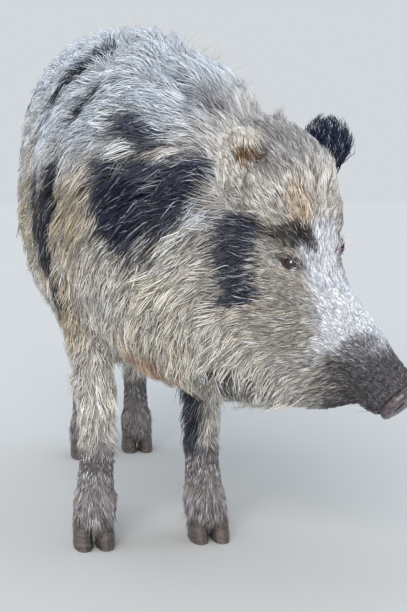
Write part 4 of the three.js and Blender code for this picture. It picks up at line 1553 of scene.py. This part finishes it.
@dataclass
class Bristles:
    """Stiff single hairs, grown by Geometry Nodes: whiskers, lashes and the longest hairs of the back."""

    name: str
    finish: bpy.types.Material
    roots: Array
    ways: Array
    lengths: Array
    patches: Array
    thick: float = 0.00045
    bend: float = 0.25

    def build(self) -> bpy.types.Object:
        """Grows a bent spike on each root and makes them one mesh."""
        seeds = bpy.data.meshes.new(self.name)
        seeds.vertices.add(len(self.roots))
        seeds.vertices.foreach_set("co", self.roots.astype(np.float32).ravel())
        for name, kind, values in (
            ("way", "FLOAT_VECTOR", self.ways),
            ("length", "FLOAT", self.lengths),
            ("patch", "FLOAT_VECTOR", np.pad(self.patches, ((0, 0), (0, 1)))),
        ):
            layer = seeds.attributes.new(name, kind, "POINT")
            key = "vector" if kind == "FLOAT_VECTOR" else "value"
            layer.data.foreach_set(key, values.astype(np.float32).ravel())
        carrier = new_object("seeds", seeds)
        grown = carrier.modifiers.new("grow", "NODES")
        grown.node_group = self.tree()
        sockets = {item.name: item.identifier for item in grown.node_group.interface.items_tree}
        grown[sockets["Thickness"]] = self.thick
        grown[sockets["Bend"]] = self.bend
        grown[sockets["Finish"]] = self.finish
        mesh = evaluated(carrier, self.name)
        patch = np.empty(len(mesh.vertices) * 3, np.float32)
        mesh.attributes["patch"].data.foreach_get("vector", patch)
        points = np.arange(len(mesh.vertices))
        around = np.stack([np.sin(points * 2.4), np.cos(points * 2.4)], axis=1) * PATCH / 2
        lay_out(mesh, patch.reshape(-1, 3)[:, :2] + around)
        for name in ("way", "length", "patch"):
            if name in mesh.attributes:
                mesh.attributes.remove(mesh.attributes[name])
        return new_object(self.name, mesh)

    def tree(self) -> bpy.types.NodeTree:
        """The node group: a bent tapering spike on each point, turned and scaled as the point says."""
        tree = bpy.data.node_groups.new(f"{self.name}_grow", "GeometryNodeTree")
        face = tree.interface
        face.new_socket("Geometry", in_out="INPUT", socket_type="NodeSocketGeometry")
        face.new_socket("Thickness", in_out="INPUT", socket_type="NodeSocketFloat")
        face.new_socket("Bend", in_out="INPUT", socket_type="NodeSocketFloat")
        face.new_socket("Finish", in_out="INPUT", socket_type="NodeSocketMaterial")
        face.new_socket("Geometry", in_out="OUTPUT", socket_type="NodeSocketGeometry")
        add, join = tree.nodes.new, tree.links.new

        def attribute(name: str, kind: str) -> bpy.types.NodeSocket:
            node = add("GeometryNodeInputNamedAttribute")
            node.data_type = kind
            node.inputs["Name"].default_value = name
            return node.outputs["Attribute"]

        source, result = add("NodeGroupInput"), add("NodeGroupOutput")
        arc = add("GeometryNodeCurveQuadraticBezier")
        arc.inputs["Resolution"].default_value = 5
        arc.inputs["Start"].default_value = (0.0, 0.0, 0.0)
        arc.inputs["Middle"].default_value = (0.0, 0.0, 0.5)
        tip = add("ShaderNodeCombineXYZ")
        tip.inputs["Z"].default_value = 0.97
        join(source.outputs["Bend"], tip.inputs["X"])
        join(tip.outputs[0], arc.inputs["End"])
        share = add("GeometryNodeSplineParameter")
        taper = add("ShaderNodeMapRange")
        taper.inputs["To Min"].default_value = 1.0
        taper.inputs["To Max"].default_value = 0.12
        join(share.outputs["Factor"], taper.inputs["Value"])
        ring = add("GeometryNodeCurvePrimitiveCircle")
        ring.inputs["Resolution"].default_value = 4
        across = add("ShaderNodeMath")
        across.operation = "DIVIDE"
        join(source.outputs["Thickness"], across.inputs[0])
        across.inputs[1].default_value = 2.0 * float(self.lengths.mean())
        join(across.outputs[0], ring.inputs["Radius"])
        spike = add("GeometryNodeCurveToMesh")
        spike.inputs["Fill Caps"].default_value = True
        join(arc.outputs["Curve"], spike.inputs["Curve"])
        join(ring.outputs["Curve"], spike.inputs["Profile Curve"])
        join(taper.outputs["Result"], spike.inputs["Scale"])
        turn = add("FunctionNodeAlignRotationToVector")
        turn.axis = "Z"
        join(attribute("way", "FLOAT_VECTOR"), turn.inputs["Vector"])
        place = add("GeometryNodeInstanceOnPoints")
        join(source.outputs["Geometry"], place.inputs["Points"])
        join(spike.outputs["Mesh"], place.inputs["Instance"])
        join(turn.outputs["Rotation"], place.inputs["Rotation"])
        join(attribute("length", "FLOAT"), place.inputs["Scale"])
        real = add("GeometryNodeRealizeInstances")
        join(place.outputs["Instances"], real.inputs["Geometry"])
        dress = add("GeometryNodeSetMaterial")
        join(real.outputs["Geometry"], dress.inputs["Geometry"])
        join(source.outputs["Finish"], dress.inputs["Material"])
        join(dress.outputs["Geometry"], result.inputs["Geometry"])
        return tree


@dataclass
class Whiskers:
    """All bristles: on the snout and chin, over the eyes, under the ears and along the back.

    A box holds the lowest and the highest place to the side, behind and above the nose, in the head's frame.
    """

    fur: Fur
    lids: Lids = field(default_factory=Lids)
    snout_count: int = 150
    snout_box: tuple[Triple, Triple] = ((0.020, 0.012, -0.075), (0.060, 0.120, 0.010))
    snout_lengths: tuple[float, float] = (0.016, 0.036)
    lash_count: int = 46
    lash_half: float = 0.0125  # how far along the lid they grow
    lash_over: float = 0.0002  # over the slit's edge
    lash_ball: float = 0.0152
    lash_fan: float = 30.0
    lash_lengths: tuple[float, float] = (0.008, 0.014)
    fan_count: int = 170
    fan_box: tuple[Triple, Triple] = ((0.100, 0.300, 0.066), (0.122, 0.336, 0.102))
    fan_middle: float = 0.084
    fan_spread: float = 16.0
    fan_lengths: tuple[float, float] = (0.036, 0.062)
    crest_count: int = 700
    crest_lengths: tuple[float, float] = (0.034, 0.056)
    crest_aside: float = 0.045
    crest_line: tuple[Triple, ...] = (
        (-0.020, -0.500, 0.640),
        (-0.040, -0.380, 0.720),
        (-0.080, -0.200, 0.780),
        (-0.088, 0.300, 0.770),
    )
    random: np.random.Generator = field(default_factory=lambda: np.random.default_rng(SEED + 1))

    def flips(self, count: int) -> Array:
        """Rows that turn a place to the one or the other side of the head."""
        side = np.where(self.random.random(count) < 0.5, -1.0, 1.0)
        return np.stack([side, np.ones(count), np.ones(count)], axis=1)

    def spots(self, box: tuple[Triple, Triple], count: int) -> Array:
        """Places in a box of the head's frame."""
        sides = [self.random.uniform(low, high, count) for low, high in zip(*box, strict=True)]
        return np.stack(sides, axis=1)

    def snout(self) -> Bristles:
        """Stiff dark hairs on the snout and the chin, which lean back."""
        count = self.snout_count
        flip = self.flips(count)
        spots = self.spots(self.snout_box, count) * flip
        roots, normals, patches = self.fur.roots_near(HEAD.outside(spots))
        lean = HEAD.turned(np.array([0.0, 0.7, -0.5])) + self.random.normal(0.0, 0.18, (count, 3))
        lengths = self.random.uniform(*self.snout_lengths, count)
        ways = unit(0.55 * normals + lean)
        return Bristles("bristles_snout", BRISTLE.build(), roots, ways, lengths, patches)

    def lashes(self) -> Bristles:
        """Pale lashes on the upper lids, which hang out over the slit."""
        count, lids = self.lash_count, self.lids
        places, ways = [], []
        for eye in EYES.values():
            along = self.random.uniform(-self.lash_half, self.lash_half, count)
            upward = lids.half_high * (1.0 - (along / lids.half_long) ** 2) + self.lash_over
            outward = np.sqrt(np.maximum(self.lash_ball**2 - along**2 - upward**2, 0.0))
            places.append(eye.outside(np.stack([along, upward, outward], axis=1)))
            turn = self.random.normal(0.0, 0.16, (count, 3))
            turn += np.stack([along * self.lash_fan, np.full(count, 0.10), np.full(count, 1.0)], axis=1)
            ways.append(turn @ np.stack([eye.along, eye.upward, eye.outward]))
        roots = np.concatenate(places)
        _, _, patches = self.fur.roots_near(roots)
        lengths = self.random.uniform(*self.lash_lengths, len(roots))
        ways = unit(np.concatenate(ways))
        return Bristles("lashes", LASH.build(), roots, ways, lengths, patches, 0.00050, 0.1)

    def fans(self) -> Bristles:
        """Long white hairs that spread backwards from under the ears."""
        count = self.fan_count
        flip = self.flips(count)
        spots = self.spots(self.fan_box, count)
        roots, normals, patches = self.fur.roots_near(HEAD.outside(spots * flip))
        spread = (spots[:, 2:3] - self.fan_middle) * self.fan_spread
        ways = np.array([0.55, 0.75, 0.0]) + spread * np.array([0.0, 0.2, 1.0])
        ways = HEAD.turned(ways * flip) + np.array([0.0, 0.0, -0.25])
        ways += 0.22 * normals + self.random.normal(0.0, 0.06, (count, 3))
        lengths = self.random.uniform(*self.fan_lengths, count)
        return Bristles("bristles_ear_fans", LASH.build(), roots, unit(ways), lengths, patches, 0.0008, 0.12)

    def crest(self) -> Bristles:
        """The longest hairs of the back and nape, which stand out over the coat."""
        count = self.crest_count
        along = self.random.uniform(0.0, 1.0, count)
        knots = np.array(self.crest_line)
        at = along * (len(knots) - 1)
        low = np.minimum(at.astype(int), len(knots) - 2)
        spots = knots[low] + (knots[low + 1] - knots[low]) * (at - low)[:, None]
        spots[:, 0] += self.random.normal(0.0, self.crest_aside, count)
        roots, normals, patches = self.fur.roots_near(spots)
        lean = np.array([0.0, 0.80, 0.0]) + self.random.normal(0.0, 0.22, (count, 3))
        lengths = self.random.uniform(*self.crest_lengths, count)
        ways = unit(0.62 * normals + lean)
        return Bristles("bristles_crest", CREST.build(), roots, ways, lengths, patches, 0.00055, 0.3)


# ---- Finishes ----


@dataclass(frozen=True)
class Finish:
    """A procedural finish, in scene linear colours and metres.

    Attributes:
        name: The material's name.
        dark: The darker colour of its mottling, or the darker share of the coat's colour.
        light: The lighter one.
        grain: The width of its mottling.
        roughness: From glossy 0 to dull 1.
        bump: How strongly its grain stands out.
        bump_grain: The width of that grain.
        stretch: How much finer the grain is along each axis.
        coat: How much of it a wet or waxy layer covers.
        tinted: Whether it takes its colour from the coat's attribute.
    """

    name: str
    dark: Triple
    light: Triple
    grain: float
    roughness: float
    bump: float = 0.0
    bump_grain: float = 0.001
    stretch: Triple = (1.0, 1.0, 1.0)
    coat: float = 0.0
    tinted: bool = False

    def build(self) -> bpy.types.Material:
        """Makes the material."""
        made = bpy.data.materials.new(self.name)
        made.use_nodes = True
        nodes, join = made.node_tree.nodes, made.node_tree.links.new
        shader = nodes["Principled BSDF"]
        shader.inputs["Roughness"].default_value = self.roughness
        shader.inputs["Coat Weight"].default_value = self.coat
        shader.inputs["Coat Roughness"].default_value = 0.15
        place = nodes.new("ShaderNodeTexCoord")
        stretched = nodes.new("ShaderNodeMapping")
        stretched.inputs["Scale"].default_value = self.stretch
        join(place.outputs["Object"], stretched.inputs["Vector"])
        mottle = nodes.new("ShaderNodeTexNoise")
        mottle.inputs["Scale"].default_value = 1.0 / self.grain
        mottle.inputs["Detail"].default_value = 3.0
        join(stretched.outputs["Vector"], mottle.inputs["Vector"])
        ramp = nodes.new("ShaderNodeValToRGB")
        ramp.color_ramp.elements[0].position = 0.35
        ramp.color_ramp.elements[0].color = (*self.dark, 1.0)
        ramp.color_ramp.elements[1].position = 0.65
        ramp.color_ramp.elements[1].color = (*self.light, 1.0)
        join(mottle.outputs["Fac"], ramp.inputs["Fac"])
        if self.tinted:
            tint = nodes.new("ShaderNodeAttribute")
            tint.attribute_name = TINT
            mixed = nodes.new("ShaderNodeMix")
            mixed.data_type = "RGBA"
            mixed.blend_type = "MULTIPLY"
            mixed.inputs["Factor"].default_value = 1.0
            join(tint.outputs["Color"], mixed.inputs["A"])
            join(ramp.outputs["Color"], mixed.inputs["B"])
            join(mixed.outputs["Result"], shader.inputs["Base Color"])
        else:
            join(ramp.outputs["Color"], shader.inputs["Base Color"])
        if self.bump:
            fine = nodes.new("ShaderNodeTexNoise")
            fine.inputs["Scale"].default_value = 1.0 / self.bump_grain
            fine.inputs["Detail"].default_value = 4.0
            join(stretched.outputs["Vector"], fine.inputs["Vector"])
            relief = nodes.new("ShaderNodeBump")
            relief.inputs["Strength"].default_value = self.bump
            relief.inputs["Distance"].default_value = self.bump_grain
            join(fine.outputs["Fac"], relief.inputs["Height"])
            join(relief.outputs["Normal"], shader.inputs["Normal"])
        return made


WHITE: Triple = (1.0, 1.0, 1.0)
# The skin takes the coat's colour darkened to 0.44 to 0.66 of it: painted shade under the hair, with a
# mottle.
SKIN_WITH_PAINTED_SHADE = Finish("hide", (0.44, 0.42, 0.42), (0.66, 0.63, 0.61), 0.006, 0.72, 0.6, 0.0016, tinted=True)
HAIR = Finish("hair", (0.92, 0.92, 0.92), WHITE, 0.004, 0.50, tinted=True)
LEATHER = Finish(
    "nose_leather_wet",
    linear(52, 45, 48),
    linear(98, 85, 88),
    0.007,
    0.42,
    0.7,
    0.0016,
    coat=0.35,
    tinted=True,
)
HORN = Finish(
    "horn_grey",
    linear(54, 47, 45),
    linear(98, 87, 82),
    0.010,
    0.46,
    0.5,
    0.0016,
    stretch=(0.6, 0.6, 3.2),
    coat=0.1,
)
BRISTLE = Finish("bristle_dark", linear(40, 36, 36), linear(80, 74, 72), 0.01, 0.5)
CREST = Finish("bristle_pale", linear(150, 140, 128), linear(226, 224, 226), 0.03, 0.5)
LASH = Finish("lash_pale", linear(205, 196, 186), linear(232, 226, 220), 0.01, 0.45)


@dataclass(frozen=True)
class EyeFinish:
    """The eye's colours as rings round the gaze, under a wet layer."""

    rings: tuple[tuple[float, Triple], ...] = (
        (0.00, linear(12, 9, 9)),
        (0.33, linear(14, 10, 9)),
        (0.38, linear(56, 34, 24)),
        (0.66, linear(44, 27, 20)),
        (0.74, linear(26, 16, 18)),
        (0.90, linear(112, 78, 104)),
        (1.20, linear(150, 104, 136)),
    )

    def build(self) -> bpy.types.Material:
        """Makes the material."""
        made = bpy.data.materials.new("eye_wet")
        made.use_nodes = True
        nodes, join = made.node_tree.nodes, made.node_tree.links.new
        shader = nodes["Principled BSDF"]
        shader.inputs["Roughness"].default_value = 0.12
        shader.inputs["Coat Weight"].default_value = 1.0
        shader.inputs["Coat Roughness"].default_value = 0.03
        gaze = nodes.new("ShaderNodeAttribute")
        gaze.attribute_name = GAZE
        scaled = nodes.new("ShaderNodeMath")
        scaled.operation = "DIVIDE"
        scaled.inputs[1].default_value = math.pi / 2
        join(gaze.outputs["Fac"], scaled.inputs[0])
        ramp = nodes.new("ShaderNodeValToRGB")
        stops = ramp.color_ramp.elements
        while len(stops) < len(self.rings):
            stops.new(0.5)
        for stop, (angle, colour) in zip(stops, self.rings, strict=True):
            stop.position = angle / (math.pi / 2)
            stop.color = (*colour, 1.0)
        join(scaled.outputs[0], ramp.inputs["Fac"])
        join(ramp.outputs["Color"], shader.inputs["Base Color"])
        return made


def dress(piece: bpy.types.Object, finish: bpy.types.Material) -> None:
    """Gives a piece one finish all over."""
    piece.data.materials.clear()
    piece.data.materials.append(finish)


# ---- Floor, lights and camera ----


@dataclass
class Studio:
    """A pale floor and soft light, and a camera level with the boar's shoulder."""

    camera_place: Triple = (-0.3557, -2.2991, 0.55)
    look: Triple = (0.1736, 0.9848, 0.0)
    pitch: float = math.radians(5.217)
    focal: float = 81.18
    sensor: float = 36.0
    floor_half: float = 30.0

    def build(self) -> None:
        """Sets the floor, the lights and the camera."""
        half = self.floor_half
        corners = np.array([[-half, -half, 0.0], [half, -half, 0.0], [half, half, 0.0], [-half, half, 0.0]])
        floor = new_object("floor", mesh_of("floor", corners, [np.array([[0, 1, 2, 3]])]))
        pale = Finish("floor_pale", (0.595, 0.592, 0.588), (0.610, 0.607, 0.603), 1.0, 0.95)
        dress(floor, pale.build())
        self.light("key", (-0.8, -2.6, 1.1), 34.0, 2.7, (1.0, 0.985, 0.97))
        self.light("sky", (-0.3, 0.9, 3.5), 60.0, 0.6, (0.62, 0.82, 1.0))
        world = bpy.data.worlds.new("studio")
        world.use_nodes = True
        backdrop = world.node_tree.nodes["Background"]
        backdrop.inputs["Color"].default_value = (0.90, 0.955, 1.0, 1.0)
        backdrop.inputs["Strength"].default_value = 0.72
        bpy.context.scene.world = world
        bpy.context.scene.view_settings.view_transform = "Standard"
        lens = bpy.data.cameras.new("camera")
        lens.lens = self.focal
        lens.sensor_width = self.sensor
        lens.sensor_height = self.sensor
        lens.sensor_fit = "AUTO"
        camera = bpy.data.objects.new("camera", lens)
        bpy.context.scene.collection.objects.link(camera)
        down = Vector(self.look) * math.cos(self.pitch) - Vector((0.0, 0.0, math.sin(self.pitch)))
        camera.location = self.camera_place
        camera.rotation_euler = down.to_track_quat("-Z", "Y").to_euler()
        bpy.context.scene.camera = camera

    def light(self, name: str, place: Triple, spread: float, strength: float, colour: Triple) -> None:
        """A soft even light over the whole floor, which comes from a place in the sky."""
        lamp = bpy.data.lights.new(name, "SUN")
        lamp.angle = math.radians(spread)
        lamp.energy = strength
        lamp.color = colour
        holder = bpy.data.objects.new(name, lamp)
        bpy.context.scene.collection.objects.link(holder)
        holder.location = place
        holder.rotation_euler = (-Vector(place)).to_track_quat("-Z", "Y").to_euler()


# ---- The whole boar ----


def triangles(piece: bpy.types.Object) -> int:
    """How many triangles a piece has."""
    return len(piece.data.loops) - 2 * len(piece.data.polygons)


def main() -> None:
    """Builds the boar and the studio."""
    lie, markings = Lie(), Markings()
    skin = Hide(lie, markings).build()
    dress(skin, SKIN_WITH_PAINTED_SHADE.build())
    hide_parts(*FLESH)
    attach(skin, "root")
    log.info("skin: %d triangles", triangles(skin))
    eye_finish = EyeFinish().build()
    for side, place in EYES.items():
        dress(Eye(side, place).build(), eye_finish)
    dress(NoseDisc().build(), LEATHER.build())
    horn = HORN.build()
    for leg in LEGS:
        for part in ("hoof_inner", "hoof_outer", "dewclaw_inner", "dewclaw_outer"):
            dress(Horn(f"{leg}_{part}").build(), horn)
    fur = Fur(skin, lie, markings)
    hair = HAIR.build()
    total = 0
    for name, region in REGIONS.items():
        piece = fur.piece(name, region)
        dress(piece, hair)
        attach(piece, "root")
        total += triangles(piece)
        log.info("%s: %d triangles", name, triangles(piece))
    tassel = fur.tassel()
    dress(tassel, hair)
    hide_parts("tail_tassel")
    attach(tassel, "root")
    total += triangles(tassel)
    log.info("coat: %d triangles", total)
    whiskers = Whiskers(fur)
    for bristles, slot in (
        (whiskers.snout(), "dark_coat"),
        (whiskers.lashes(), "coat"),
        (whiskers.fans(), "coat"),
        (whiskers.crest(), "coat"),
    ):
        piece = bristles.build()
        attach(piece, "root")
        log.info("%s: %d triangles", piece.name, triangles(piece))
    Studio().build()


if __name__ == "__main__":
    main()
